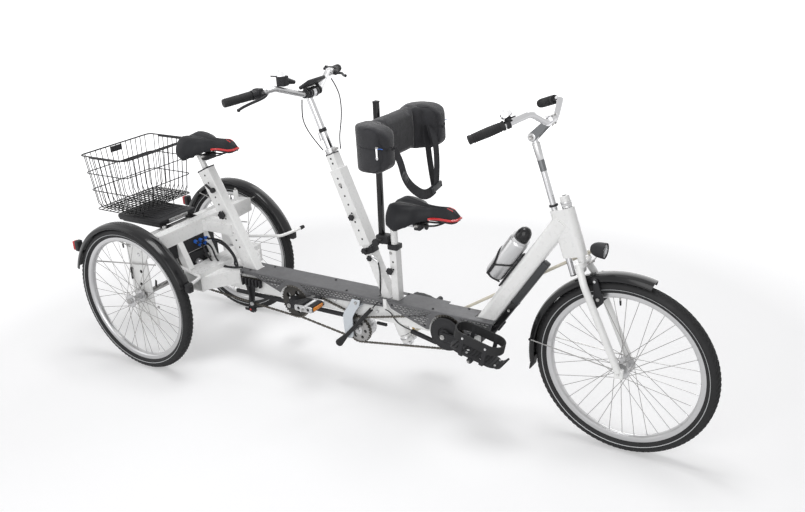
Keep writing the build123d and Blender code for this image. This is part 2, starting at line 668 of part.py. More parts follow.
with BuildPart() as front_bell:
    spot, outward = on_bar(FRONT_BAR_HALF, -1, 136)
    add(rod([spot - outward * 7, spot + outward * 7], 16, sides=12))
    add(bell(spot + Vector(-4, -4, 24), 16))
    add(front_bar, mode=Mode.SUBTRACT)
save(front_bell.part, "front_bell")
with BuildPart() as bored_column:
    add(steering_column.part)
    add(rear_bar, mode=Mode.SUBTRACT)
save(bored_column.part, "steering_column")

# Front rider's fixed handlebar on its post behind the steering head
POST_BASE = Vector(HEAD_BASE.X - POST_BEHIND * math.cos(math.radians(HEAD_LEAN)), 0,
                   HEAD_BASE.Z - POST_BEHIND * math.sin(math.radians(HEAD_LEAN)))
with BuildPart() as front_handlebar:
    add(rod([at_height(POST_BASE, HEAD_LEAN, 650), at_height(POST_BASE, HEAD_LEAN, 1105), (730, 0, 1130), (790, 0, 1192)],
            POST_R, bend=12))
    add(disc(Vector(790, 0, 1192), 18, -22, 22))
    add(front_bar)
save(front_handlebar.part, "front_handlebar")

# Saddles: a top view and a side view that meet
SADDLE_PLAN = (
    # x back from the nose, half width
    (0, 12), (90, 24), (150, 46), (200, 84), (240, 92), (285, 60),
)
SADDLE_SIDE = (
    # x back from the nose, height
    (0, 18), (10, 52), (120, 58), (230, 64), (285, 58), (285, 8), (200, -12), (110, 14),
)


def saddle(nose_x, base_z):
    plan = [(nose_x - x, y) for x, y in SADDLE_PLAN] + [(nose_x - x, -y) for x, y in reversed(SADDLE_PLAN)]
    side = [(nose_x - x, base_z + z) for x, z in SADDLE_SIDE]
    with BuildPart() as made:
        with BuildSketch(Plane.XY.offset(base_z - 40)):
            with BuildLine():
                Polyline(*plan, close=True)
            make_face()
        extrude(amount=140)
        add(side_plate(side, -100, 100), mode=Mode.INTERSECT)
    return made.part


save(saddle(430, 772), "front_saddle")
save(saddle(-636, 936), "rear_saddle")

# Crank sets: axle, arms, rings; pedals on their own spindles
def crank_ends(centre, angle):
    turn = math.radians(angle)
    reach = Vector(CRANK_LENGTH * math.cos(turn), 0, CRANK_LENGTH * math.sin(turn))
    return centre + reach, centre - reach


def crank_arm(centre, end, y_from, y_to):
    low, high = sorted((y_from, y_to))
    along = end - centre
    with BuildPart() as made:
        with BuildSketch(Plane(origin=(centre.X, low, centre.Z), x_dir=along, z_dir=(0, 1, 0))):
            with BuildLine():
                r_in, r_out = 17, 13
                Line((0, r_in), (CRANK_LENGTH, r_out))
                ThreePointArc((CRANK_LENGTH, r_out), (CRANK_LENGTH + r_out, 0), (CRANK_LENGTH, -r_out))
                Line((CRANK_LENGTH, -r_out), (0, -r_in))
                ThreePointArc((0, -r_in), (-r_in, 0), (0, r_in))
            make_face()
        extrude(amount=high - low)
    return made.part


PEDAL_BORE_R = 5
SPINDLE_R = 4.9


def crank_set(centre, angle, rings):
    right_end, left_end = crank_ends(centre, angle)
    pieces = [
        disc(centre, 9.5, -ARM_OUTER_Y, ARM_OUTER_Y),
        crank_arm(centre, right_end, -ARM_INNER_Y, -ARM_OUTER_Y),
        crank_arm(centre, left_end, ARM_INNER_Y, ARM_OUTER_Y),
        disc(centre, 24, -ARM_INNER_Y, RING_A_Y),
        disc(right_end, SPINDLE_R, -200, -ARM_OUTER_Y + 1),
        disc(left_end, SPINDLE_R, ARM_OUTER_Y - 1, 200),
    ]
    for ring_y in rings:
        pieces.append(toothed_ring(centre, RING_R, ring_y))
    if len(rings) > 1:
        pieces.append(disc(centre, 30, RING_A_Y, RING_B_Y))
    return collect(*pieces)


save(crank_set(REAR_CRANK, REAR_ARM_ANGLE, (RING_A_Y, RING_B_Y)), "rear_crank_set")
front_cranks = crank_set(FRONT_CRANK, FRONT_ARM_ANGLE, (RING_A_Y,))
save(collect(front_cranks, disc(FRONT_CRANK, 68, -66, -63)), "front_crank_set")

PEDAL_Y = 148
PEDAL_HALF = 44
FOOT_TILT = 14


def cage_pedal():
    """Pedal of the rear rider: a barrel between two side plates and two tread bars."""
    with BuildPart() as made:
        add(block((-45, -PEDAL_HALF, -13), (45, PEDAL_HALF, 13)))
        for x_from, x_to in ((-32, -12), (12, 32)):
            add(block((x_from, 7 - PEDAL_HALF, -14), (x_to, PEDAL_HALF - 7, 14)), mode=Mode.SUBTRACT)
        add(disc(Vector(0, 0, 0), PEDAL_BORE_R, -60, 60), mode=Mode.SUBTRACT)
    return made.part


def foot_support():
    """Pedal of the front rider: a sole, a toe stop and a band round the foot on four uprights."""
    with BuildPart() as made:
        with BuildSketch(Plane.XY.offset(8)):
            with Locations((3, 0)):
                RectangleRounded(206, 86, 40)
        extrude(amount=7)
        with BuildSketch(Plane.XY.offset(62)):
            with Locations((4, 0)):
                RectangleRounded(200, 92, 44)
                RectangleRounded(190, 82, 39, mode=Mode.SUBTRACT)
        extrude(amount=36)
        for x in (-50, 44):
            for y in (-46, 41):
                add(block((x, y, 10), (x + 14, y + 5, 98)))
        add(side_plate(((92, 8), (104, 9), (124, 34), (118, 38), (101, 17), (92, 15)), -30, 30))
        add(disc(Vector(0, 0, 0), 11, -PEDAL_HALF, PEDAL_HALF))
        add(disc(Vector(0, 0, 0), PEDAL_BORE_R, -60, 60), mode=Mode.SUBTRACT)
    return made.part


PEDALS = (
    # name, crank centre, crank angle, shape, turn of the right and of the left one
    ("rear", REAR_CRANK, REAR_ARM_ANGLE, cage_pedal(), 0, 0),
    ("front", FRONT_CRANK, FRONT_ARM_ANGLE, foot_support(), FOOT_TILT, FOOT_TILT + 180),
)
for name, centre, angle, shape, right_turn, left_turn in PEDALS:
    right_end, left_end = crank_ends(centre, angle)
    save(Pos(right_end.X, -PEDAL_Y, right_end.Z) * Rot(0, right_turn, 0) * shape, f"{name}_pedal_right")
    save(Pos(left_end.X, PEDAL_Y, left_end.Z) * Rot(0, left_turn, 0) * shape, f"{name}_pedal_left")

# Footboard: top plate and folded side skirts
BOARD_Z = (417, 420)
BOARD_X = (-660, 560)
BOARD_HALF = 56
with BuildPart() as footboard:
    with BuildSketch(Plane.XY.offset(BOARD_Z[0])):
        with BuildLine():
            Polyline((BOARD_X[0], -BOARD_HALF), (BOARD_X[1] + 25, -BOARD_HALF), (BOARD_X[1] + 25, -30), (BOARD_X[1], -30),
                     (BOARD_X[1], 30), (350, 30), (350, 50), (BOARD_X[0], 50), close=True)
        make_face()
        with Locations((at_height(COLUMN_BASE, COLUMN_LEAN, 418).X, 0)):
            Rectangle(66, 62, mode=Mode.SUBTRACT)
        with Locations((FRONT_SEAT_X, 0)):
            Rectangle(46, 46, mode=Mode.SUBTRACT)
        with Locations((at_height(SEAT_TUBE_BASE, SEAT_TUBE_LEAN, 418).X, 0)):
            Rectangle(96, 54, mode=Mode.SUBTRACT)
        with Locations((545, 0)):
            Rectangle(96, 56, mode=Mode.SUBTRACT)
    extrude(amount=BOARD_Z[1] - BOARD_Z[0])
    add(side_plate(((-655, 418), (-655, 404), (-576, 404), (-420, 348), (-310, 348), (-262, 372), (98, 392), (98, 418)),
                   -BOARD_HALF, -BOARD_HALF + 2))
    add(side_plate(((120, 418), (136, 392), (296, 336), (480, 336), (575, 388), (585, 418)),
                   -BOARD_HALF, -BOARD_HALF + 2))
    for shell in (REAR_CRANK, FRONT_CRANK):
        add(disc(shell, RING_R + 8, -60, -50), mode=Mode.SUBTRACT)
save(footboard.part, "footboard")

# Middle shaft with its two sprockets and bracket, and the chains
mid_drive = collect(
    disc(MID_SPROCKET, 9, -60, 30),
    disc(MID_SPROCKET, 24, -30, 30),
    toothed_ring(MID_SPROCKET, MID_SPROCKET_R, RING_A_Y),
    toothed_ring(MID_SPROCKET, MID_SPROCKET_R, RING_B_Y),
    disc(MID_SPROCKET, 20, RING_A_Y, RING_B_Y),
    block((-56, -20, 270), (-22, 20, BOOM_Z[0])),
    block((-58, -66, 240), (-20, -60, 372)),
    block((-58, -66, 366), (-20, -30, 372)),
)
save(mid_drive, "mid_drive")


# Chain tensioner: a finned block on the boom, its arm, and a roller under the rear chain
TENSIONER = Vector(-616, 0, 238)
tensioner_pieces = [
    block((-644, -57, 355), (-538, -52, 385)),
    block((-606, -52, 348), (-566, -BOOM_WIDTH / 2, 370)),
    side_plate(((-633, 355), (-577, 355), (-590, 300), (-606, 232), (-630, 232), (-622, 300)), -57, -52),
    disc(TENSIONER, 20, -49, -43),
    disc(TENSIONER, 7, -52, -43),
]
for fin in range(6):
    fin_x = -644 + fin * 19.2
    tensioner_pieces.append(block((fin_x, -66, 355), (fin_x + 10, -57, 385)))
save(collect(*tensioner_pieces), "chain_tensioner")


def loop_outline(first, first_r, second, second_r, grow):
    """Outline round two wheels, like an open belt, with its radii grown by an amount."""
    run = second - first
    lean = math.atan2(run.Z, run.X)
    spread = math.asin((first_r - second_r) / run.length)
    top, low = lean + math.pi / 2 - spread, lean - math.pi / 2 + spread

    def point(centre, radius, angle):
        return (centre.X + radius * math.cos(angle), centre.Z + radius * math.sin(angle))

    a, b = first_r + grow, second_r + grow
    return (
        point(first, a, top), point(first, a, lean + math.pi), point(first, a, low),
        point(second, b, low), point(second, b, lean), point(second, b, top),
    )


def chain_loop(first, first_r, second, second_r, y):
    """Plain closed loop of chain that runs round two rings."""
    with BuildPart() as made:
        with BuildSketch(Plane(origin=(0, y - 3.5, 0), x_dir=(1, 0, 0), z_dir=(0, -1, 0))):
            for grow, mode in ((4, Mode.ADD), (-3.2, Mode.SUBTRACT)):
                a, b, c, d, e, f = loop_outline(first, first_r, second, second_r, grow)
                with BuildLine():
                    ThreePointArc(a, b, c)
                    Line(c, d)
                    ThreePointArc(d, e, f)
                    Line(f, a)
                make_face(mode=mode)
        extrude(amount=-7)
    return made.part


REAR_SPROCKET = Vector(REAR_X, 0, TYRE_R)
CHAINS = (
    # name, first wheel, radius, second wheel, radius, plane
    ("front_chain", FRONT_CRANK, RING_R, MID_SPROCKET, MID_SPROCKET_R, RING_A_Y),
    ("middle_chain", MID_SPROCKET, MID_SPROCKET_R, REAR_CRANK, RING_R, RING_B_Y),
    ("rear_chain", REAR_CRANK, RING_R, REAR_SPROCKET, REAR_SPROCKET_R, RING_A_Y),
)
for name, first, first_r, second, second_r, y in CHAINS:
    save(chain_loop(first, first_r, second, second_r, y), name)

# Battery along the lower side of the down tube, bottle in its cage on the upper side
DOWN = (DOWN_TUBE_HEAD - DOWN_TUBE_FOOT).normalized()
SQUARE = Vector(DOWN.Z, 0, -DOWN.X)


def along_down_tube(share, out):
    return DOWN_TUBE_FOOT + (DOWN_TUBE_HEAD - DOWN_TUBE_FOOT) * share + SQUARE * out


save(bar(along_down_tube(0.04, 46), along_down_tube(0.72, 46), 30, 26), "tube_battery")
BOTTLE_R = 37
bottle_foot, bottle_top = along_down_tube(0.42, -80), along_down_tube(0.74, -80)
bottle_length = (bottle_top - bottle_foot).length
bottle = turned([(0, 0), (34, 0), (BOTTLE_R, 4), (BOTTLE_R, bottle_length - 32), (24, bottle_length - 8), (24, bottle_length),
                 (27, bottle_length), (27, bottle_length + 14), (20, bottle_length + 34), (8, bottle_length + 45),
                 (0, bottle_length + 45)], bottle_foot, tuple(DOWN))
save(bottle, "bottle")
with BuildPart() as bottle_cage:
    add(bar(along_down_tube(0.38, -37), along_down_tube(0.66, -37), 22, 8))
    for share in (0.46, 0.58):
        with BuildSketch(Plane(origin=along_down_tube(share, -80), x_dir=(0, 1, 0), z_dir=DOWN)):
            Circle(BOTTLE_R + 4)
            Circle(BOTTLE_R + 0.5, mode=Mode.SUBTRACT)
        extrude(amount=9)
save(bottle_cage.part, "bottle_cage")

# Lamps, hoops that hold the rear mudguards, and small fittings
rear_lights = collect(*[
    block((-1371, side * HALF_TRACK - 15, 505), (-1336, side * HALF_TRACK + 15, 550)) for side in (-1, 1)
])
save(rear_lights, "rear_lights")
guard_hoops = collect(*[
    rod([(-880, side * 200, 455), (-690, side * 262, 462), (-640, side * 388, 470)], 7, bend=60, sides=8)
    for side in (-1, 1)
])
save(guard_hoops, "mudguard_hoops")
print("built")
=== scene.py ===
import math
import random

import bmesh
import bpy
from mathutils import Matrix, Vector
from mathutils.bvhtree import BVHTree
from mathutils.kdtree import KDTree


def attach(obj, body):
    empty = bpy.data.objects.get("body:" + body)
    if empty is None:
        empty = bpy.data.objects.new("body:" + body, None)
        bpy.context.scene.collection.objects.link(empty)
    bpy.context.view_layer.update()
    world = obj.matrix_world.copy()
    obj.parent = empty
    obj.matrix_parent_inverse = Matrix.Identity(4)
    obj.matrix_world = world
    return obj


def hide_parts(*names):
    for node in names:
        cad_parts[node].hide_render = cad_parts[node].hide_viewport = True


bl_info = {
    "name": "Tandem Therapy Tricycle",
    "version": (1, 0, 0),
    "blender": (4, 5, 0),
    "location": "View3D > Sidebar > Tricycle",
    "description": "Dresses the packed tandem tricycle with its visible pieces and finishes",
    "category": "Object",
}

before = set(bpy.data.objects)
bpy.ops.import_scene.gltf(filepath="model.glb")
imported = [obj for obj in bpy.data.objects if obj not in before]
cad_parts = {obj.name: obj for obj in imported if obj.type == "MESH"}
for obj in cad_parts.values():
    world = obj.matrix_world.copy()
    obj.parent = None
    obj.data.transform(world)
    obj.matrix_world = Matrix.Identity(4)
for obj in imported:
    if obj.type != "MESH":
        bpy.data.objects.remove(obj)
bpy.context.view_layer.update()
MM = 0.001
SHARP = math.radians(34)
HERE = Matrix.Identity(4)
ACROSS = Vector((0, 1, 0))
CRANK_LENGTH = 170
CRANK_RING, MID_RING, AXLE_RING = 71, 54, 40  # radii at which the chains run on their toothed rings
OUTER_CHAIN, INNER_CHAIN = -46, -37  # places of the chains across
SLOT_STEP = 18  # from slot to slot along the footboard's skirt
GUARD_STEP = 2.5  # degrees of a guard that one facet spans
SADDLE_LENGTH = 286

# Places shared with the solids, in millimetres
FRONT_AXLE = Vector((1070, 0, 330))
REAR_AXLE = Vector((-1022, 0, 330))
HALF_TRACK = 342
REAR_CRANK = Vector((-362, 0, 320))
FRONT_CRANK = Vector((388, 0, 337))
MID_SHAFT = Vector((-39, 0, 256))
HEAD_LEAN = 17
COLUMN_LEAN = 21.7
SEAT_TUBE_LEAN = 25.7
HEAD_BASE = Vector((906, 0, 717))
COLUMN_BASE = Vector((90, 0, 430))
SEAT_TUBE_BASE = Vector((-632, 0, 430))
DOWN_TUBE_FOOT = Vector((490, 0, 345))
DOWN_TUBE_HEAD = Vector((838, 0, 842))


def lean_up(angle):
    """Direction of an axis that points up and leans back by an angle in degrees."""
    return Vector((-math.sin(math.radians(angle)), 0, math.cos(math.radians(angle))))


def at_height(base, angle, height, forward=0, left=0):
    """Point at a height on a leaning axis, moved forward square to it and to the left."""
    back = (height - base.z) * math.tan(math.radians(angle))
    ahead = lean_up(angle - 90) * forward
    return Vector((base.x - back, left, height)) + ahead


def on_column(height, forward=0, left=0):
    """Point at a height on the steering column's axis."""
    return at_height(COLUMN_BASE, COLUMN_LEAN, height, forward, left)


def on_head(height):
    """Point at a height on the fork's steering axis."""
    return at_height(HEAD_BASE, HEAD_LEAN, height)


def on_seat_tube(height, forward=0):
    """Point at a height on the rear seat tube's middle line."""
    return at_height(SEAT_TUBE_BASE, SEAT_TUBE_LEAN, height, forward)


def facing(direction):
    """Turn that points the Z axis along a direction."""
    return Vector(direction).to_track_quat("Z", "Y").to_matrix().to_4x4()


def moved(*offset):
    return Matrix.Translation(offset)


# Shapes: each returns a bmesh in millimetres


def closed_up(shape):
    bmesh.ops.remove_doubles(shape, verts=shape.verts[:], dist=0.001)
    bmesh.ops.recalc_face_normals(shape, faces=shape.faces[:])
    return shape


def softened(shape, edges, size, steps=2):
    """The shape with some of its edges rounded."""
    bmesh.ops.bevel(shape, geom=edges, offset=size, offset_type="OFFSET", segments=steps, profile=0.5,
                    affect="EDGES", clamp_overlap=True, material=-1)
    return shape


def box(low, high, edge=0, steps=2):
    """Box between two corners with rounded edges."""
    low, high = Vector(low), Vector(high)
    shape = bmesh.new()
    bmesh.ops.create_cube(shape, size=1, matrix=Matrix.LocRotScale((low + high) / 2, None, high - low))
    return softened(shape, shape.edges[:], edge, steps) if edge else shape


def beam(start, end, width, depth, edge=0, steps=2):
    """Box tube between two points: width across Y and depth square to it."""
    start, end = Vector(start), Vector(end)
    along = (end - start).normalized()
    side = Vector((0, 0, 1)) if abs(along.y) > 0.9 else ACROSS
    third = side.cross(along).normalized()
    side = along.cross(third)
    turn = Matrix((third, side, along)).transposed().to_4x4()
    size = Matrix.Diagonal((depth, width, (end - start).length, 1))
    shape = bmesh.new()
    bmesh.ops.create_cube(shape, size=1, matrix=Matrix.Translation((start + end) / 2) @ turn @ size)
    return softened(shape, shape.edges[:], edge, steps) if edge else shape


def rod(start, end, radius, end_radius=None, sides=20, edge=0):
    """Round bar between two points, tapered if a second radius is given."""
    start, end = Vector(start), Vector(end)
    shape = bmesh.new()
    bmesh.ops.create_cone(shape, cap_ends=True, cap_tris=False, segments=sides, radius1=radius,
                          radius2=radius if end_radius is None else end_radius, depth=(end - start).length,
                          matrix=Matrix.Translation((start + end) / 2) @ facing(end - start))
    if edge:
        caps = [face for face in shape.faces if len(face.verts) > 4]
        softened(shape, list({rim for face in caps for rim in face.edges}), edge)
    return shape


def turned(profile, origin=(0, 0, 0), axis=(0, 0, 1), steps=32, ring=False):
    """Shape turned about an axis from pairs of radius and height; a ring closes its profile."""
    shape = bmesh.new()
    verts = [shape.verts.new((radius, 0, height)) for radius, height in profile]
    edges = [shape.edges.new(pair) for pair in zip(verts, verts[1:])]
    if ring:
        edges.append(shape.edges.new((verts[-1], verts[0])))
    bmesh.ops.spin(shape, geom=verts + edges, cent=(0, 0, 0), axis=(0, 0, 1), angle=math.tau, steps=steps,
                   use_merge=True)
    bmesh.ops.transform(shape, matrix=Matrix.Translation(origin) @ facing(axis), verts=shape.verts[:])
    bmesh.ops.remove_doubles(shape, verts=shape.verts[:], dist=0.001)
    bmesh.ops.holes_fill(shape, edges=shape.edges[:], sides=0)
    return closed_up(shape)


def plate(outline, y_from, y_to, holes=(), edge=0):
    """Plate with an outline in X and Z, between two widths, with holes through it."""
    shape = bmesh.new()
    loops = []
    for loop in (outline, *holes):
        verts = [shape.verts.new((x, y_from, z)) for x, z in loop]
        loops += [shape.edges.new(pair) for pair in zip(verts, verts[1:] + verts[:1])]
    if holes:
        bmesh.ops.triangle_fill(shape, use_beauty=True, edges=loops)
    else:
        shape.faces.new(verts)
    grown = bmesh.ops.extrude_face_region(shape, geom=shape.faces[:])
    bmesh.ops.translate(shape, vec=(0, y_to - y_from, 0),
                        verts=[item for item in grown["geom"] if isinstance(item, bmesh.types.BMVert)])
    closed_up(shape)
    if edge:
        rims = [rim for rim in shape.edges if rim.calc_face_angle(0) > SHARP]
        softened(shape, rims, edge, 1)
    return shape


def round_hole(x, z, radius, sides=12):
    return [(x + radius * math.cos(math.tau * k / sides), z + radius * math.sin(math.tau * k / sides))
            for k in range(sides)]


def long_hole(x, z, half_length, radius, slope=0):
    """Outline of a slot whose length follows a slope."""
    points = []
    for k in range(8):
        turn = math.tau * (k + 0.5) / 8
        side = half_length if math.cos(turn) > 0 else -half_length
        points.append((x + side * math.cos(slope) + radius * math.cos(turn + slope),
                       z + side * math.sin(slope) + radius * math.sin(turn + slope)))
    return points


def path_mesh(points, radius, order=3, sides=8, loop=False):
    """Tube along a path; order 2 keeps its corners and 3 rounds them."""
    curve = bpy.data.curves.new("path", "CURVE")
    curve.dimensions = "3D"
    curve.bevel_depth = radius
    curve.bevel_resolution = max(0, sides // 2 - 2)
    curve.use_fill_caps = not loop
    curve.resolution_u = 6
    spline = curve.splines.new("NURBS")
    spline.points.add(len(points) - 1)
    for place, point in zip(spline.points, points):
        place.co = (*point, 1)
    spline.order_u = order
    spline.use_endpoint_u = not loop
    spline.use_cyclic_u = loop
    holder = bpy.data.objects.new("path", curve)
    mesh = bpy.data.meshes.new_from_object(holder)
    bpy.data.objects.remove(holder)
    bpy.data.curves.remove(curve)
    return mesh


def tube(points, radius, order=3, sides=8, loop=False):
    mesh = path_mesh(points, radius, order, sides, loop)
    shape = bmesh.new()
    shape.from_mesh(mesh)
    bpy.data.meshes.remove(mesh)
    return closed_up(shape)


def bolt_head(point, outward, radius=6, height=4):
    """Socket screw: a rounded head with a six-sided recess."""
    shape = rod((0, 0, 0), (0, 0, height), radius, sides=18)
    top = [face for face in shape.faces if face.normal.z > 0.9]
    softened(shape, list(top[0].edges), height * 0.25, 1)
    top = [face for face in shape.faces if face.normal.z > 0.99]
    bmesh.ops.inset_region(shape, faces=top, thickness=radius * 0.42, depth=0)
    bmesh.ops.translate(shape, vec=(0, 0, -height * 0.55), verts=top[0].verts)
    bmesh.ops.transform(shape, matrix=Matrix.Translation(point) @ facing(outward), verts=shape.verts[:])
    return shape


class Piece:
    """One visible piece: shapes in millimetres, each with its finish, gathered into one mesh."""

    def __init__(self, name):
        self.name = name
        self.mesh = bmesh.new()
        self.finishes = []

    def add(self, shape, finish, places=(HERE,)):
        if finish not in self.finishes:
            self.finishes.append(finish)
        for face in shape.faces:
            face.material_index = self.finishes.index(finish)
        source = bpy.data.meshes.new("part")
        shape.to_mesh(source)
        shape.free()
        for place in places:
            copy = source.copy()
            copy.transform(place)
            if place.determinant() < 0:
                copy.flip_normals()
            self.mesh.from_mesh(copy)
            bpy.data.meshes.remove(copy)
        bpy.data.meshes.remove(source)
        return self

    def finish(self, body, slot, replaces=()):
        """Writes the object in metres, rides it on its body and hides the imported nodes it replaces."""
        for face in self.mesh.faces:
            face.smooth = True
        for edge in self.mesh.edges:
            edge.smooth = edge.calc_face_angle(0) < SHARP
        bmesh.ops.scale(self.mesh, vec=(MM, MM, MM), verts=self.mesh.verts[:])
        mesh = bpy.data.meshes.new(self.name)
        self.mesh.to_mesh(mesh)
        self.mesh.free()
        for name in self.finishes:
            mesh.materials.append(finish_named(name))
        made = bpy.data.objects.new(self.name, mesh)
        bpy.context.scene.collection.objects.link(made)
        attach(made, body)
        if replaces:
            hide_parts(*replaces)
        return made


# Finishes

FINISHES = {
    # name: colour property or colour, roughness, metal, coat, mottle, (grain per metre, grain depth in mm)
    "white": ("paint", 0.28, 0.0, 0.5, 0.035, (900, 0.02)),
    "gloss": ("black", 0.16, 0.0, 0.1, 0.25, (400, 0.01)),
    "plastic": ("plastic", 0.5, 0.0, 0.0, 0.25, (2600, 0.05)),
    "sheet": ("board", 0.5, 0.55, 0.0, 0.22, (1500, 0.05)),
    "silver": ("silver", 0.3, 0.9, 0.0, 0.06, (1800, 0.008)),
    "chrome": ("chrome", 0.08, 1.0, 0.0, 0.02, (300, 0.004)),
    "steel": ((0.34, 0.335, 0.33), 0.36, 0.95, 0.0, 0.15, (1400, 0.02)),
    "dark_steel": ((0.06, 0.057, 0.053), 0.42, 0.7, 0.0, 0.45, (1600, 0.03)),
    "rubber": ((0.022, 0.022, 0.023), 0.62, 0.0, 0.0, 0.3, (2200, 0.06)),
    "tyre": ((0.02, 0.02, 0.021), 0.6, 0.0, 0.0, 0.35, (1100, 0.08)),
    "reflex": ((0.5, 0.51, 0.52), 0.45, 0.2, 0.0, 0.1, (3000, 0.02)),
    "red": ((0.55, 0.012, 0.016), 0.3, 0.0, 0.4, 0.1, (1200, 0.02)),
    "amber": ((0.85, 0.28, 0.02), 0.25, 0.0, 0.6, 0.08, (900, 0.05)),
    "blue": ((0.02, 0.12, 0.5), 0.35, 0.0, 0.2, 0.1, (1500, 0.02)),
    "beige": ((0.66, 0.62, 0.52), 0.4, 0.0, 0.1, 0.08, (1200, 0.03)),
    "gold": ((0.72, 0.5, 0.2), 0.3, 0.9, 0.0, 0.06, (1500, 0.01)),
    "mirror": ((0.92, 0.92, 0.93), 0.12, 1.0, 0.0, 0.03, (120, 0.02)),
    "chain": ((0.12, 0.11, 0.095), 0.38, 0.85, 0.0, 0.35, (1500, 0.03)),
    "webbing": ((0.025, 0.025, 0.028), 0.75, 0.0, 0.0, 0.3, (1000, 0.1)),
    "screen": ((0.1, 0.11, 0.115), 0.12, 0.0, 0.5, 0.05, (600, 0.01)),
    # Near-black for painted shade: discs and slots that stand for the dark insides of holes
    "hole": ((0.012, 0.012, 0.013), 0.8, 0.0, 0.0, 0.1, (1500, 0.02)),
    "pale_metal": ((0.62, 0.66, 0.7), 0.35, 0.3, 0.1, 0.1, (1200, 0.02)),
    "dark_metal": ((0.16, 0.165, 0.17), 0.3, 0.85, 0.0, 0.1, (1500, 0.02)),
    "grey_case": ((0.045, 0.047, 0.05), 0.42, 0.0, 0.1, 0.15, (2200, 0.03)),
}


def node_maker(material):
    tree = material.node_tree
    tree.nodes.clear()

    def node(kind, **values):
        made = tree.nodes.new(kind)
        for key, value in values.items():
            if hasattr(made, key):
                setattr(made, key, value)
            else:
                made.inputs[key.replace("_", " ")].default_value = value
        return made

    return node, tree.links.new


def blank_material(name):
    """Empty material, its node and link makers, and the place on the piece that its patterns follow."""
    material = bpy.data.materials.new(name)
    material.use_nodes = True
    node, link = node_maker(material)
    return material, node, link, node("ShaderNodeTexCoord").outputs["Object"]


def noise(node, link, place, scale, detail, roughness):
    """Output of a noise pattern on the piece."""
    made = node("ShaderNodeTexNoise", Scale=scale, Detail=detail, Roughness=roughness)
    link(place, made.inputs["Vector"])
    return made.outputs["Fac"]


def combined(node, link, operation, first, second):
    """Output of one operation on two values."""
    made = node("ShaderNodeMath", operation=operation)
    link(first, made.inputs[0])
    link(second, made.inputs[1])
    return made.outputs[0]


def shade_between(node, link, shader, share, dark, pale):
    """Colours the shader between two shades."""
    mix = node("ShaderNodeMix", data_type="RGBA")
    mix.inputs[6].default_value = (*dark, 1)
    mix.inputs[7].default_value = (*pale, 1)
    link(share, mix.inputs[0])
    link(mix.outputs[2], shader.inputs["Base Color"])


def roughen_between(node, link, shader, share, low, high):
    """Makes the shader's gloss uneven between two roughnesses."""
    gloss = node("ShaderNodeMapRange")
    gloss.inputs["To Min"].default_value = low
    gloss.inputs["To Max"].default_value = high
    link(share, gloss.inputs["Value"])
    link(gloss.outputs[0], shader.inputs["Roughness"])


def raise_and_show(node, link, shader, relief, strength, depth):
    """Gives the shader a relief of so many millimetres and links it to the output."""
    bump = node("ShaderNodeBump", Strength=strength, Distance=depth * MM)
    link(relief, bump.inputs["Height"])
    link(bump.outputs[0], shader.inputs["Normal"])
    link(shader.outputs[0], node("ShaderNodeOutputMaterial").inputs[0])


def finish_named(name):
    """Material of that name, made the first time it is asked for."""
    label = f"{name}_finish"
    if label in bpy.data.materials:
        return bpy.data.materials[label]
    if name in SPECIAL:
        return SPECIAL[name](label)
    colour, roughness, metal, coat, mottle, grain = FINISHES[name]
    if isinstance(colour, str):
        colour = getattr(bpy.context.scene.tricycle_colours, colour)
    return plain_finish(label, colour, roughness, metal, coat, mottle, grain)


def plain_finish(name, colour, roughness, metal, coat, mottle, grain):
    """Paint, plastic or metal with cloudy colour, uneven gloss and a fine grain."""
    material, node, link, place = blank_material(name)
    shader = node("ShaderNodeBsdfPrincipled", Metallic=metal)
    shader.inputs["Coat Weight"].default_value = coat
    shader.inputs["Specular IOR Level"].default_value = 0.5 if max(colour[:3]) > 0.1 else 0.25
    shader.inputs["Coat Roughness"].default_value = 0.08
    clouds = noise(node, link, place, 22, 5, 0.6)
    shade_between(node, link, shader, clouds, [c * (1 - mottle) for c in colour[:3]],
                  [min(1, c * (1 + mottle)) for c in colour[:3]])
    smears = noise(node, link, place, 70, 4, 0.55)
    roughen_between(node, link, shader, smears, roughness * 0.75, min(1, roughness * 1.3))
    grain_scale, grain_height = grain
    grains = noise(node, link, place, grain_scale, 2, 0.5)
    raise_and_show(node, link, shader, grains, 0.6, grain_height)
    return material


THREADS = 4200  # radians of the weave's wave in a metre


def woven_finish(name):
    """Black nylon with a plain weave seen from every side, coloured darker where the weave and folds lie low, as
    painted shade in their hollows.
    """
    material, node, link, place = blank_material(name)
    shader = node("ShaderNodeBsdfPrincipled", Roughness=0.85)
    shader.inputs["Sheen Weight"].default_value = 0.35
    shader.inputs["Sheen Roughness"].default_value = 0.4
    split = node("ShaderNodeSeparateXYZ")
    link(place, split.inputs[0])
    threads = []
    for axis in range(3):
        wave = node("ShaderNodeMath", operation="SINE")
        scaled = node("ShaderNodeMath", operation="MULTIPLY")
        scaled.inputs[1].default_value = THREADS
        link(split.outputs[axis], scaled.inputs[0])
        link(scaled.outputs[0], wave.inputs[0])
        threads.append(wave.outputs[0])
    first = combined(node, link, "MULTIPLY", threads[0], threads[2])
    second = combined(node, link, "MULTIPLY", threads[1], threads[2])
    weave = combined(node, link, "ADD", first, second)
    ramp = node("ShaderNodeMapRange")
    ramp.inputs["From Min"].default_value = -1.5
    ramp.inputs["From Max"].default_value = 1.5
    link(weave, ramp.inputs["Value"])
    folds = noise(node, link, place, 26, 6, 0.6)
    # Painted shade: the colour darkens where the weave's threads and the folds are low in the relief
    painted_hollow_shade = combined(node, link, "MULTIPLY", ramp.outputs[0], folds)
    shade_between(node, link, shader, painted_hollow_shade, (0.006, 0.006, 0.007), (0.06, 0.06, 0.07))
    height = node("ShaderNodeMath", operation="MULTIPLY_ADD")
    height.inputs[1].default_value = 8
    link(folds, height.inputs[0])
    link(ramp.outputs[0], height.inputs[2])
    raise_and_show(node, link, shader, height.outputs[0], 0.7, 0.35)
    return material


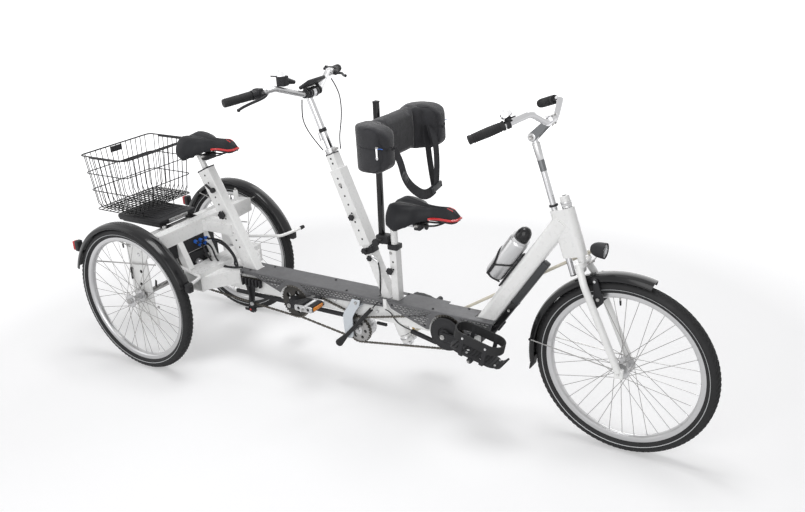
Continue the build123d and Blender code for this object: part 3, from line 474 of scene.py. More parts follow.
def hide_finish(name):
    """Soft black saddle cover with a pebbled grain and paler worn patches."""
    material, node, link, place = blank_material(name)
    shader = node("ShaderNodeBsdfPrincipled")
    shader.inputs["Specular IOR Level"].default_value = 0.16
    cells = node("ShaderNodeTexVoronoi", Scale=700)
    link(place, cells.inputs["Vector"])
    wear = noise(node, link, place, 14, 5, 0.6)
    shade_between(node, link, shader, wear, (0.012, 0.012, 0.013), (0.028, 0.029, 0.033))
    roughen_between(node, link, shader, wear, 0.38, 0.6)
    raise_and_show(node, link, shader, cells.outputs["Distance"], 0.5, 0.12)
    return material


def lens_finish(name):
    """Clear moulded lens with fine ribs."""
    material, node, link, place = blank_material(name)
    shader = node("ShaderNodeBsdfPrincipled", Roughness=0.05)
    shader.inputs["Base Color"].default_value = (0.95, 0.97, 1, 1)
    shader.inputs["Transmission Weight"].default_value = 0.85
    ribs = node("ShaderNodeTexWave", Scale=60)
    link(place, ribs.inputs["Vector"])
    raise_and_show(node, link, shader, ribs.outputs["Fac"], 0.3, 0.3)
    return material


SPECIAL = {"fabric": woven_finish, "vinyl": hide_finish, "lens": lens_finish}


def dress(finish, *nodes):
    """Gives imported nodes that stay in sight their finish."""
    for name in nodes:
        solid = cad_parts[name]
        solid.data.materials.clear()
        solid.data.materials.append(finish_named(finish))


# Properties


class TricycleSizes(bpy.types.PropertyGroup):
    tread_blocks: bpy.props.IntProperty(name="Tread blocks", description="Tread blocks in each row round a tyre",
                                        default=96, min=24, max=200)
    spokes: bpy.props.IntProperty(name="Spokes", description="Spokes in each wheel", default=36, min=12, max=48)
    spoke_radius: bpy.props.FloatProperty(name="Spoke radius", description="Radius of a spoke in millimetres",
                                          default=1.15, min=0.5, max=3)
    chain_pitch: bpy.props.FloatProperty(name="Chain pitch", description="Length of one chain link in millimetres",
                                         default=12.7, min=6, max=25)
    basket_wires: bpy.props.IntProperty(name="Basket wires", description="Upright wires on a long side of the basket",
                                        default=14, min=4, max=40)
    wire_radius: bpy.props.FloatProperty(name="Wire radius", description="Radius of a basket wire in millimetres",
                                         default=1.9, min=0.5, max=4)


class TricycleColours(bpy.types.PropertyGroup):
    paint: bpy.props.FloatVectorProperty(name="Paint", description="Colour of the frame's paint", subtype="COLOR",
                                         default=(0.85, 0.85, 0.845), size=3, min=0, max=1)
    black: bpy.props.FloatVectorProperty(name="Gloss black", description="Colour of the guards and the basket",
                                         subtype="COLOR", default=(0.012, 0.012, 0.013), size=3, min=0, max=1)
    plastic: bpy.props.FloatVectorProperty(name="Plastic", description="Colour of the moulded fittings",
                                           subtype="COLOR", default=(0.022, 0.022, 0.024), size=3, min=0, max=1)
    board: bpy.props.FloatVectorProperty(name="Footboard", description="Colour of the footboard's sheet metal",
                                         subtype="COLOR", default=(0.13, 0.13, 0.135), size=3, min=0, max=1)
    silver: bpy.props.FloatVectorProperty(name="Silver", description="Colour of the rims and satin alloy",
                                          subtype="COLOR", default=(0.52, 0.52, 0.525), size=3, min=0, max=1)
    chrome: bpy.props.FloatVectorProperty(name="Chrome", description="Colour of the polished tubes",
                                          subtype="COLOR", default=(0.56, 0.56, 0.57), size=3, min=0, max=1)


# Pieces

WHEELS = (
    # name, body, axle, half the hub's length
    ("front", "front_wheel", FRONT_AXLE, 40),
    ("rear_left", "rear_wheel_left", REAR_AXLE + ACROSS * HALF_TRACK, 36),
    ("rear_right", "rear_wheel_right", REAR_AXLE - ACROSS * HALF_TRACK, 36),
)


class TRICYCLE_OT_wheels(bpy.types.Operator):
    """Tyres with their tread and pale stripe, rims, crossed spokes, nipples, hubs and valves"""

    bl_idname = "tricycle.wheels"
    bl_label = "Wheels"

    def execute(self, context):
        sizes = context.scene.tricycle_sizes
        for name, body, axle, half_hub in WHEELS:
            place = Matrix.Translation(axle)
            self.tyre(name, body, place, sizes)
            self.rim(name, body, place, half_hub, sizes)
        return {"FINISHED"}

    def tyre(self, name, body, place, sizes):
        half = [(328.4, 0), (327.6, 8), (324.5, 15), (319, 20.5), (311, 23.8), (303, 24.6), (296, 22.5), (290, 17.5),
                (286.4, 14.5), (284, 12.5)]
        inside = [(288, 10), (300, 18), (312, 19), (320, 12), (323, 0)]
        ring = half + inside
        ring += [(r, -y) for r, y in reversed(inside[:-1])] + [(r, -y) for r, y in reversed(half[1:])]
        piece = Piece(f"{name}_tyre_worn")
        piece.add(turned(ring, axis=(0, 1, 0), steps=120, ring=True), "tyre", [place])
        for side in (-1, 1):
            stripe = [(298.5, side * 22.8), (303, side * 25), (303, side * 24.2), (298.5, side * 22)]
            piece.add(turned(stripe, axis=(0, 1, 0), steps=120, ring=True), "reflex", [place])
        count = sizes.tread_blocks
        rows = (
            # distance from the middle, radius, half length, half width, lean, share of a step
            (0, 329.0, 7.5, 3.6, 0, 0), (8.6, 328.4, 6.5, 3.0, 0.35, 0.5), (-8.6, 328.4, 6.5, 3.0, -0.35, 0.5),
            (15.6, 324.8, 5.2, 3.0, 0.2, 0), (-15.6, 324.8, 5.2, 3.0, -0.2, 0),
        )
        for y, radius, half_length, half_width, lean, share in rows:
            block = box((-half_length, -half_width, -2), (half_length, half_width, 0.9), 0.7, 1)
            tilt = Matrix.Rotation(-y * 0.045, 4, "X")
            turns = [math.tau * (k + share) / count for k in range(count)]
            places = [place @ Matrix.Rotation(turn, 4, "Y") @ moved(0, y, radius) @ tilt @ Matrix.Rotation(lean, 4, "Z")
                      for turn in turns]
            piece.add(block, "tyre", places)
        piece.finish(body, "tyre", [f"{name}_tyre"])

    def rim(self, name, body, place, half_hub, sizes):
        ring = [(288, 12.6), (288.6, 14), (287.6, 15), (278, 15), (272, 14), (267, 8), (265.5, 0)]
        ring += [(r, -y) for r, y in reversed(ring[:-1])]
        ring += [(285, -11.5), (280, -10), (279, 0), (280, 10), (285, 11.5)]
        piece = Piece(f"{name}_rim_spoked")
        piece.add(turned(ring, axis=(0, 1, 0), steps=144, ring=True), "silver", [place])
        hub = [(9, -half_hub), (11.5, -half_hub), (13, -half_hub + 4), (13, -34 + 2), (29.5, -31), (30.5, -29.5),
               (29.5, -28), (15, -25), (13.5, -18), (13.5, 18), (15, 25), (29.5, 28), (30.5, 29.5), (29.5, 31),
               (13, 32), (13, half_hub - 4), (11.5, half_hub), (9, half_hub)]
        piece.add(turned(hub, axis=(0, 1, 0), steps=40), "silver", [place])
        count = sizes.spokes
        for number in range(count):
            side = 1 if number % 2 else -1
            lead = math.radians(55 if number % 4 < 2 else -55)
            rim_turn = math.tau * number / count
            foot_turn = rim_turn + lead
            foot = Vector((27 * math.cos(foot_turn), side * (29 + (1.6 if lead > 0 else -1.6)),
                           27 * math.sin(foot_turn)))
            head = Vector((267 * math.cos(rim_turn), side * 3, 267 * math.sin(rim_turn)))
            inward = (foot - head).normalized()
            piece.add(rod(foot, head, sizes.spoke_radius, sides=6), "steel", [place])
            piece.add(rod(head, head + inward * 13, 2, 1.6, sides=8), "silver", [place])
            out = Vector((0, side, 0)) * (1 if lead > 0 else -1)
            piece.add(rod(foot - out * 1.2, foot + out * 1.4, 1.9, sides=8), "steel", [place])
        valve = Matrix.Rotation(math.radians(-95), 4, "Y")
        piece.add(rod((266, 0, 0), (252, 0, 0), 3.1, sides=12), "steel", [place @ valve])
        piece.add(rod((254, 0, 0), (236, 0, 0), 4, 3.2, sides=14, edge=0.8), "plastic", [place @ valve])
        piece.finish(body, "silver", [f"{name}_rim"])


def laid(shape):
    """A plate turned from its side onto its face: its Z runs to the left and its Y down."""
    bmesh.ops.rotate(shape, cent=(0, 0, 0), matrix=Matrix.Rotation(-math.pi / 2, 3, "X"), verts=shape.verts[:])
    return shape


def arc(centre, radius, start, end, steps=12):
    """Points of an arc in X and Z, its angles in degrees from forward."""
    turns = [math.radians(start + (end - start) * k / steps) for k in range(steps + 1)]
    return [(centre[0] + radius * math.cos(turn), centre[1] + radius * math.sin(turn)) for turn in turns]


def inside(outline, x, z):
    """True where a point lies within an outline."""
    hits = 0
    for (ax, az), (bx, bz) in zip(outline, outline[1:] + outline[:1]):
        if (az > z) != (bz > z) and x < ax + (bx - ax) * (z - az) / (bz - az):
            hits += 1
    return hits % 2 == 1


def moulded(size, cuts, shape_at, roundness=3.0):
    """Closed form from a fine cube whose points, from -1 to 1 each way, go where shape_at says."""
    shape = bmesh.new()
    bmesh.ops.create_cube(shape, size=2)
    bmesh.ops.subdivide_edges(shape, edges=shape.edges[:], cuts=cuts, use_grid_fill=True)
    for vert in shape.verts:
        u, v, w = vert.co
        reach = max(abs(v), abs(w))
        spread = (abs(v) ** roundness + abs(w) ** roundness) ** (1 / roundness)
        if spread > 0:
            v, w = v * reach / spread, w * reach / spread
        vert.co = Vector(shape_at(u, v, w)) * size
    return closed_up(shape)


def between(table, x):
    """Value at x in a table of steps, eased between them."""
    for (x_from, low), (x_to, high) in zip(table, table[1:]):
        if x <= x_to:
            share = min(1, max(0, (x - x_from) / (x_to - x_from)))
            share = share * share * (3 - 2 * share)
            return low + (high - low) * share
    return table[-1][1]


def belt(wheels, pitch):
    """Places and directions of links along a loop that runs outside some wheels, in a plane across Y."""
    tangents = []
    for (first, first_r), (second, second_r) in zip(wheels, wheels[1:] + wheels[:1]):
        run = second - first
        tangents.append(math.atan2(run.z, run.x) - math.acos((first_r - second_r) / run.length))
    stretches = []
    for number, (centre, radius) in enumerate(wheels):
        turn_in, turn_out = tangents[number - 1], tangents[number]
        sweep = (turn_out - turn_in) % math.tau
        stretches.append((centre, radius, turn_in, sweep))
    points = []
    for number, (centre, radius, turn_in, sweep) in enumerate(stretches):
        steps = max(2, int(sweep * radius / 2))
        for k in range(steps + 1):
            turn = turn_in + sweep * k / steps
            points.append(centre + Vector((math.cos(turn), 0, math.sin(turn))) * radius)
    points.append(points[0])
    lengths = [(b - a).length for a, b in zip(points, points[1:])]
    count = 2 * round(sum(lengths) / pitch / 2)
    step = sum(lengths) / count
    joints, gone, number = [], 0.0, 0
    for k in range(count):
        while gone + lengths[number] < k * step:
            gone += lengths[number]
            number += 1
        share = (k * step - gone) / lengths[number]
        joints.append(points[number].lerp(points[number + 1], share))
    return joints


def gear(radius, teeth, thickness, bore, holes=()):
    """Toothed ring about Y with its teeth cut between two radii and holes through its web."""
    outline = []
    for k in range(teeth):
        for share, reach in ((0, -3.2), (0.22, 2.6), (0.42, 2.6), (0.64, -3.2)):
            turn = math.tau * (k + share) / teeth
            outline.append(((radius + reach) * math.cos(turn), (radius + reach) * math.sin(turn)))
    return plate(outline, -thickness / 2, thickness / 2, [round_hole(0, 0, bore, 20), *holes])


class TRICYCLE_OT_footboard(bpy.types.Operator):
    """Footboard: top sheet with its screws and the slotted skirts, cut out round the rings"""

    bl_idname = "tricycle.footboard"
    bl_label = "Footboard"

    def execute(self, context):
        piece = Piece("footboard_slotted")
        top = [(-660, -52), (585, -52), (585, -28), (497, -28), (497, 30), (350, 30), (350, 50), (-660, 50), (-660, 27),
               (-578, 27), (-578, -27), (-660, -27)]
        mast = [(60, -31), (160, -31), (160, 31), (60, 31)]
        screws = ((-530, 34), (-195, 31), (161, 41), (447, 22), (-610, -38), (-90, -38), (320, -38))
        piece.add(laid(plate(top, -420, -417.6, [mast])), "sheet")
        for x_from, x_to in ((-655, 98), (120, 585)):
            piece.add(rod((x_from, -52.8, 416.8), (x_to, -52.8, 416.8), 3.2, sides=12), "sheet")
        for x, y in screws:
            piece.add(bolt_head((x, y, 420), (0, 0, 1), 5, 2.4), "plastic")
        rear = [(-655, 417), (-655, 404), (-576, 404), *arc((REAR_CRANK.x, REAR_CRANK.z), 79, 155.4, 28, 14),
                (-262, 372), (98, 392), (98, 417)]
        front = [(120, 417), (136, 392), (296, 336), *arc((FRONT_CRANK.x, FRONT_CRANK.z), 79, 180, 0, 16), (480, 336),
                 (575, 388), (585, 417)]
        for outline, ring, first_slot, last_slot in ((rear, REAR_CRANK, -632, 86), (front, FRONT_CRANK, 148, 566)):
            holes = []
            for row in range(9):
                z = 409 - row * 8.6
                x = first_slot + (SLOT_STEP / 2 if row % 2 else 0)
                while x < last_slot:
                    corners = [(x + dx, z + dz) for dx in (-13, 13) for dz in (-6.5, 6.5)]
                    clear = all(inside(outline, *corner) for corner in corners)
                    if clear and math.hypot(x - ring.x, z - ring.z) > 97:
                        holes.append(long_hole(x, z, 4.6, 2.3))
                    x += SLOT_STEP
            piece.add(plate(outline, -56, -54.2, holes), "sheet")
        for x, z in ((-640, 411), (90, 404), (142, 408), (290, 352), (482, 352)):
            piece.add(bolt_head((x, -56, z), (0, -1, 0), 4.5, 2.6), "plastic")
        piece.finish("frame", "grey_sheet", ["footboard"])
        return {"FINISHED"}


CHAIN_RUNS = (
    # name, wheels in order as (centre, radius), width across
    ("front_chain", ((FRONT_CRANK, CRANK_RING), (MID_SHAFT, MID_RING)), OUTER_CHAIN),
    ("middle_chain", ((MID_SHAFT, MID_RING), (REAR_CRANK, CRANK_RING)), INNER_CHAIN),
    ("rear_chain", ((REAR_CRANK, CRANK_RING), (REAR_AXLE, AXLE_RING)), OUTER_CHAIN),
)


class TRICYCLE_OT_chains(bpy.types.Operator):
    """Three chains, link by link, with their plates, rollers and pins"""

    bl_idname = "tricycle.chains"
    bl_label = "Chains"

    def execute(self, context):
        for name, wheels, across in CHAIN_RUNS:
            self.chain(name, list(wheels), across, context.scene.tricycle_sizes.chain_pitch)
        return {"FINISHED"}

    def link(self, pitch, spread):
        """Two waisted side plates of one link along X, an amount apart."""
        half = pitch / 2
        outline = [(half + 3.9, 0), (half + 2.4, 3.4), (half - 1.4, 3.7), (0, 2.3), (1.4 - half, 3.7),
                   (-half - 2.4, 3.4), (-half - 3.9, 0), (-half - 2.4, -3.4), (1.4 - half, -3.7), (0, -2.3),
                   (half - 1.4, -3.7), (half + 2.4, -3.4)]
        shape = plate(outline, spread, spread + 1)
        mirrored = plate(outline, -spread - 1, -spread)
        holder = bpy.data.meshes.new("link")
        mirrored.to_mesh(holder)
        mirrored.free()
        shape.from_mesh(holder)
        bpy.data.meshes.remove(holder)
        return shape

    def chain(self, name, wheels, across, pitch):
        joints = [joint + ACROSS * across for joint in belt(wheels, pitch)]
        places = {0: [], 1: []}
        rollers = []
        for number, (here, there) in enumerate(zip(joints, joints[1:] + joints[:1])):
            along = (there - here).normalized()
            turn = Matrix((along, ACROSS, along.cross(ACROSS))).transposed().to_4x4()
            places[number % 2].append(Matrix.Translation((here + there) / 2) @ turn)
            rollers.append(Matrix.Translation(here))
        piece = Piece(f"{name}_links")
        piece.add(self.link(pitch, 1.6), "chain", places[0])
        piece.add(self.link(pitch, 2.8), "chain", places[1])
        piece.add(rod((0, -1.6, 0), (0, 1.6, 0), 3.6, sides=8), "chain", rollers)
        piece.add(rod((0, -4.4, 0), (0, 4.4, 0), 1.5, sides=6), "steel", rollers)
        piece.finish("frame", "chain", [name])


class TRICYCLE_OT_tensioner(bpy.types.Operator):
    """Finned block on the boom with the sprung arm and toothed roller under the rear chain"""

    bl_idname = "tricycle.tensioner"
    bl_label = "Chain tensioner"

    def execute(self, context):
        piece = Piece("chain_tensioner_finned")
        roller = Vector((-616, 0, 238))
        piece.add(box((-645, -57, 355), (-537, -52, 386), 1.5), "plastic")
        for fin in range(6):
            x = -645 + fin * 19.6
            piece.add(box((x, -68, 354), (x + 9, -56, 387), 2.5, 3), "plastic")
        piece.add(box((-606, -53, 348), (-566, -30, 370), 2), "white")
        arm = [(-633, 356), (-577, 356), (-588, 300), *arc((-616, 238), 17, 20, -200, 10), (-622, 300)]
        piece.add(plate(arm, -58, -53, edge=1.5), "plastic")
        piece.add(beam((-607, -60, 350), (-604, -60, 282), 22, 6, 2.5), "plastic")
        piece.add(rod((-604, -66, 268), (-604, -57, 268), 9, sides=20, edge=1.5), "silver")
        piece.add(gear(20, 11, 4, 6), "plastic", [Matrix.Translation(roller - ACROSS * 46)])
        piece.add(rod(roller - ACROSS * 62, roller - ACROSS * 43, 8, sides=20, edge=1.5), "plastic")
        piece.add(rod(roller - ACROSS * 63.5, roller - ACROSS * 61, 5, sides=18, edge=0.6), "red")
        piece.add(beam((-649, -60, 236), (-588, -60, 236), 6, 12, 2), "plastic")
        piece.finish("frame", "black_plastic", ["chain_tensioner"])
        return {"FINISHED"}


def crank_arm(centre, angle, y_from, y_to):
    """Forged arm with a round boss, tapered to its pedal's eye, about its own axle."""
    turn = math.radians(angle)
    outline = arc((0, 0), 17, 82, 278, 10) + arc((CRANK_LENGTH, 0), 13, -84, 84, 8)
    shape = plate(outline, y_from, y_to, edge=2.5)
    bmesh.ops.transform(shape, matrix=Matrix.Translation(centre) @ Matrix.Rotation(-turn, 4, "Y"), verts=shape.verts[:])
    return shape


CRANKS = (
    # name, body, axle, angle of the right arm, planes of its rings
    ("rear", "rear_cranks", REAR_CRANK, 20, (OUTER_CHAIN, INNER_CHAIN)),
    ("front", "front_cranks", FRONT_CRANK, -4, (OUTER_CHAIN,)),
)


def crank_end(centre, angle, reach=CRANK_LENGTH):
    """Point on a crank's line some way out from its axle."""
    turn = math.radians(angle)
    return centre + Vector((reach * math.cos(turn), 0, reach * math.sin(turn)))


class TRICYCLE_OT_cranks(bpy.types.Operator):
    """Crank sets with toothed rings, and their pedals"""

    bl_idname = "tricycle.cranks"
    bl_label = "Cranks"

    def execute(self, context):
        for name, body, axle, angle, rings in CRANKS:
            self.crank_set(name, body, axle, angle, rings)
        for name, _, axle, angle, _ in CRANKS:
            for side_name, side in (("right", -1), ("left", 1)):
                end = crank_end(axle, angle, -side * CRANK_LENGTH)
                if name == "rear":
                    self.block_pedal(f"rear_pedal_{side_name}", end, side)
                else:
                    self.foot_pedal(f"front_pedal_{side_name}", end, side)
        return {"FINISHED"}

    def crank_set(self, name, body, axle, angle, rings):
        piece = Piece(f"{name}_crank_set_forged")
        place = [Matrix.Translation(axle)]
        holes = [round_hole(44 * math.cos(t), 44 * math.sin(t), 11, 14) for t in (math.tau * k / 5 for k in range(5))]
        for y in rings:
            piece.add(gear(CRANK_RING, 36, 3, 20, holes), "dark_steel", [Matrix.Translation(axle + ACROSS * y)])
        piece.add(turned([(0, -78), (19, -78), (22, -74), (22, -64), (30, -50), (30, -34), (0, -34)], axis=(0, 1, 0)),
                  "plastic", place)
        piece.add(rod(axle - ACROSS * 92, axle + ACROSS * 92, 9.4, sides=20), "steel")
        piece.add(crank_arm(axle, angle, -92, -76), "plastic")
        piece.add(crank_arm(axle, angle + 180, 76, 92), "plastic")
        for side, end in ((-1, crank_end(axle, angle)), (1, crank_end(axle, angle + 180))):
            piece.add(bolt_head(axle + ACROSS * side * 91, (0, side, 0), 10, 4), "steel")
            piece.add(rod(end + ACROSS * side * 88, end + ACROSS * side * 200, 4.8, sides=14), "steel")
            piece.add(rod(end + ACROSS * side * 90, end + ACROSS * side * 98, 8, sides=6), "steel")
        if name == "front":
            guard = [(68, -63.2), (68.5, -64.6), (66, -66.6), (52, -66.8), (46, -69), (32, -69.4), (30, -66), (0, -66),
                     (0, -62.6), (60, -62.6)]
            piece.add(turned(guard, axis=(0, 1, 0), steps=64), "plastic", place)
        else:
            for k in range(5):
                piece.add(bolt_head(crank_end(axle, 10 + k * 72, 31) + ACROSS * -48, (0, -1, 0), 4.5, 3), "silver")
        piece.finish(body, "black_plastic", [f"{name}_crank_set"])

    def block_pedal(self, name, end, side):
        """Cage pedal: alloy barrel and side plates, two ribbed rubber blocks and amber reflectors."""
        piece = Piece(f"{name}_caged")
        inner, outer = side * 106, side * 190
        piece.add(rod(end + ACROSS * side * 104, end + ACROSS * side * 192, 11.5, 9.5, sides=20, edge=1), "silver")
        for y in (inner, outer):
            low, high = sorted((y, y - side * 5 if y == outer else y + side * 5))
            outline = [(-44, -9), (-38, -12.6), (38, -12.6), (44, -9), (44, 9), (38, 12.6), (-38, 12.6), (-44, 9)]
            piece.add(plate(outline, low, high, [round_hole(-24, 0, 7, 10), round_hole(24, 0, 7, 10)]), "silver",
                      [moved(end.x, 0, end.z)])
        low, high = sorted((side * 112, side * 184))
        for x in (-29, 29):
            piece.add(box((x - 13, low, -12), (x + 13, high, 12), 3), "plastic", [moved(end.x, 0, end.z)])
            for k in range(6):
                y = low + 8 + k * (high - low - 16) / 5
                piece.add(box((x - 12, y - 3, -13.4), (x + 12, y + 3, 13.4), 1, 1), "rubber", [moved(end.x, 0, end.z)])
        for x in (-44, 44):
            piece.add(box((x - 2.4, low + 6, -7.5), (x + 2.4, high - 6, 7.5), 1.4), "amber", [moved(end.x, 0, end.z)])
        piece.finish(name, "black_plastic", [name])

    def foot_pedal(self, name, end, side):
        """Foot support: a ribbed sole with a toe stop, and a band round the foot. The left one hangs upside down."""
        piece = Piece(f"{name}_support")
        turn = math.radians(14 if side < 0 else 194)
        place = [Matrix.Translation((end.x, side * 148, end.z)) @ Matrix.Rotation(turn, 4, "Y")]
        sole = arc((66, 0), 40, -90, 90, 10) + arc((-60, 0), 40, 90, 270, 10)
        piece.add(laid(plate(sole, -15, -8, [round_hole(30, 18, 6), round_hole(30, -18, 6), round_hole(-30, 0, 8)])),
                  "plastic", place)
        for x in range(-84, 92, 14):
            if abs(x - 30) > 8 and abs(x + 30) > 9:
                piece.add(box((x - 2, -26, 14), (x + 2, 26, 17.5), 0.8, 1), "rubber", place)
        piece.add(rod((0, -44, 0), (0, 44, 0), 11, sides=24, edge=1), "plastic", place)
        for x in (-46, 40):
            piece.add(box((x - 9, -30, -8), (x + 9, -16, 10), 3), "plastic", place)
        band = arc((58, 0), 46, -88, 88, 12) + arc((-50, 0), 46, 92, 268, 12)
        ring = arc((58, 0), 41.5, -88, 88, 12) + arc((-50, 0), 41.5, 92, 268, 12)
        piece.add(laid(plate(band, -98, -62, [ring])), "rubber", place)
        for x in (-43, 51):
            for y in (-43.5, 43.5):
                piece.add(box((x - 8, y - 2.8, 10), (x + 8, y + 2.8, 98.5), 1.5), "plastic", place)
                piece.add(bolt_head((x, y + math.copysign(2.8, y), 80), (0, math.copysign(1, y), 0), 4.5, 2.5),
                          "silver", place)
        stop = [(92, 8), (104, 9), (116, 18), (124, 34), (118, 38), (109, 24), (101, 17), (92, 15)]
        piece.add(plate(stop, -30, 30, edge=1.2), "plastic", place)
        for x, y in ((92, 22), (92, -22), (-24, 26), (-24, -26)):
            piece.add(bolt_head((x, y, 15), (0, 0, 1), 5, 3), "silver", place)
        piece.finish(name, "black_plastic", [name])


class TRICYCLE_OT_mid_drive(bpy.types.Operator):
    """Middle shaft with two toothed rings, its strap, lever and gear hub, and the rear cross shaft"""

    bl_idname = "tricycle.mid_drive"
    bl_label = "Middle drive"

    def execute(self, context):
        piece = Piece("mid_drive_geared")
        holes = [round_hole(34 * math.cos(t), 34 * math.sin(t), 7, 12) for t in (math.tau * k / 6 for k in range(6))]
        for y in (OUTER_CHAIN, INNER_CHAIN):
            piece.add(gear(MID_RING, 27, 3, 14, holes), "steel", [Matrix.Translation(MID_SHAFT + ACROSS * y)])
        hub = [(0, -60), (9, -60), (9, -52), (20, -50), (22, -32), (44, -29), (47, -24), (47, 16), (43, 22), (26, 24),
               (24, 30), (0, 30)]
        piece.add(turned(hub, MID_SHAFT, (0, 1, 0), 48), "silver")
        for k in range(12):
            turn = math.tau * k / 12
            rib = MID_SHAFT + Vector((46 * math.cos(turn), 0, 46 * math.sin(turn)))
            piece.add(beam(rib + ACROSS * -24, rib + ACROSS * 16, 4, 5, 1), "silver")
        piece.add(box((-58, -18, 268), (-20, 18, 312), 5), "white")
        strap = [(-46, 402), (-6, 402), (-14, 376), (-38, 340), (-51, 318), (-54, 250),
                 *arc((-76, 240), 22, -20, -160, 6), (-100, 316), (-90, 338), (-62, 376)]
        piece.add(plate(strap, -67, -62, edge=1), "pale_metal")
        piece.add(box((-46, -64, 366), (-18, -30, 372), 1.5), "pale_metal")
        for x, z in ((-28, 388), (-76, 246)):
            piece.add(bolt_head((x, -67, z), (0, -1, 0), 7, 5), "steel")
        lever = [(-108, -78, 206), (-96, -79, 219), (-40, -79, 278), (20, -78, 344), (54, -77, 380)]
        piece.add(tube(lever, 8.5, sides=16), "rubber")
        piece.add(rod((-124, -78, 190), (-84, -79, 232), 17, 10, 20, 3), "rubber")
        piece.add(rod((52, -77, 378), (64, -76, 391), 4, sides=12), "steel")
        piece.add(tube([(62, -76, 389), (74, -74, 404), (84, -66, 414)], 2.4), "plastic")
        piece.finish("frame", "steel", ["mid_drive"])
        foot = Piece("column_foot")
        foot.add(rod(on_column(217), on_column(258), 21, 24, 28, 2), "white")
        foot.add(rod(on_column(243), on_column(250), 25.5, sides=28, edge=1), "silver")
        arm_root = on_column(228)
        pin = on_column(228, left=62)
        foot.add(beam(arm_root, pin, 22, 12, 3), "white")
        foot.add(rod(pin, on_column(262, left=62), 5.5, sides=6, edge=0.6), "gold")
        foot.finish("rear_steering", "white_paint")
        shaft = Piece("rear_axle_turned")
        shaft.add(rod(REAR_AXLE - ACROSS * 285, REAR_AXLE + ACROSS * 285, 12, sides=24), "steel")
        case = [(12, -34), (34, -32), (40, -24), (58, -20), (60, -12), (60, 34), (58, 44), (42, 50), (36, 62), (12, 64)]
        shaft.add(turned(case, REAR_AXLE, (0, 1, 0), 48), "dark_steel")
        shaft.add(gear(AXLE_RING, 20, 3, 14), "dark_steel", [Matrix.Translation(REAR_AXLE + ACROSS * OUTER_CHAIN)])
        for side in (-1, 1):
            for k in range(8):
                spot = REAR_AXLE + Vector((50 * math.cos(math.tau * k / 8), 12 + side * 33,
                                           50 * math.sin(math.tau * k / 8)))
                shaft.add(bolt_head(spot, (0, side, 0), 4.5, 4), "steel")
            shaft.add(rod(REAR_AXLE + ACROSS * side * 293, REAR_AXLE + ACROSS * side * 382, 10, sides=20, edge=1),
                      "steel")
            shaft.add(turned([(12, 262), (30, 264), (32, 270), (32, 284.6), (12, 284.6)], REAR_AXLE, (0, side, 0), 32),
                      "silver")
            shaft.add(rod(REAR_AXLE + ACROSS * side * 379, REAR_AXLE + ACROSS * side * 381.6, 13, sides=24), "steel")
        shaft.finish("frame", "steel", ["rear_axle"])
        return {"FINISHED"}


def saddle_shape(nose_x, base_z):
    """Padded saddle: narrow drooping nose, flared rear with deep flanks, two raised pads and a middle groove."""
    # Share of the way from nose to rear, then half the width, the height of the top, of the edge and the hollow's rise
    half = ((0, 20), (0.1, 24), (0.35, 28), (0.5, 44), (0.64, 80), (0.8, 99), (0.93, 96), (1, 80))
    top = ((0, 42), (0.07, 57), (0.14, 64), (0.3, 61), (0.5, 60), (0.72, 66), (0.86, 68), (1, 60))
    low = ((0, 18), (0.06, 5), (0.14, 2), (0.26, 9), (0.38, 10), (0.5, 0), (0.6, -12), (0.7, -30), (0.82, -48),
           (0.93, -28), (1, 4))
    rise = ((0, 4), (0.4, 6), (0.6, 22), (0.8, 40), (1, 16))

    def shape_at(u, v, w):
        back = (1 - u) / 2
        pads = 7 * math.exp(-((abs(v) - 0.6) / 0.3) ** 2) * max(0, back - 0.4) * 1.7
        groove = 7 * math.exp(-(v / 0.16) ** 2) * (1 if 0.15 < back < 0.97 else 0.4)
        crown = between(top, back) + pads - groove - abs(v) ** 3 * 9
        skirt = between(low, back) + (1 - abs(v) ** 2.4) * between(rise, back)
        ends = 1 - 0.3 * max(0, abs(u) - 0.88) / 0.12
        share = (w + 1) / 2
        height = skirt + (crown - skirt) * share
        middle = (skirt + crown) / 2
        tuck = 0.9 + 0.1 * math.sin(math.pi * min(1, share * 1.15))
        return (nose_x - SADDLE_LENGTH * back, v * between(half, back) * ends * tuck,
                base_z + middle + (height - middle) * ends)

    return moulded(1, 27, shape_at, 4.2)


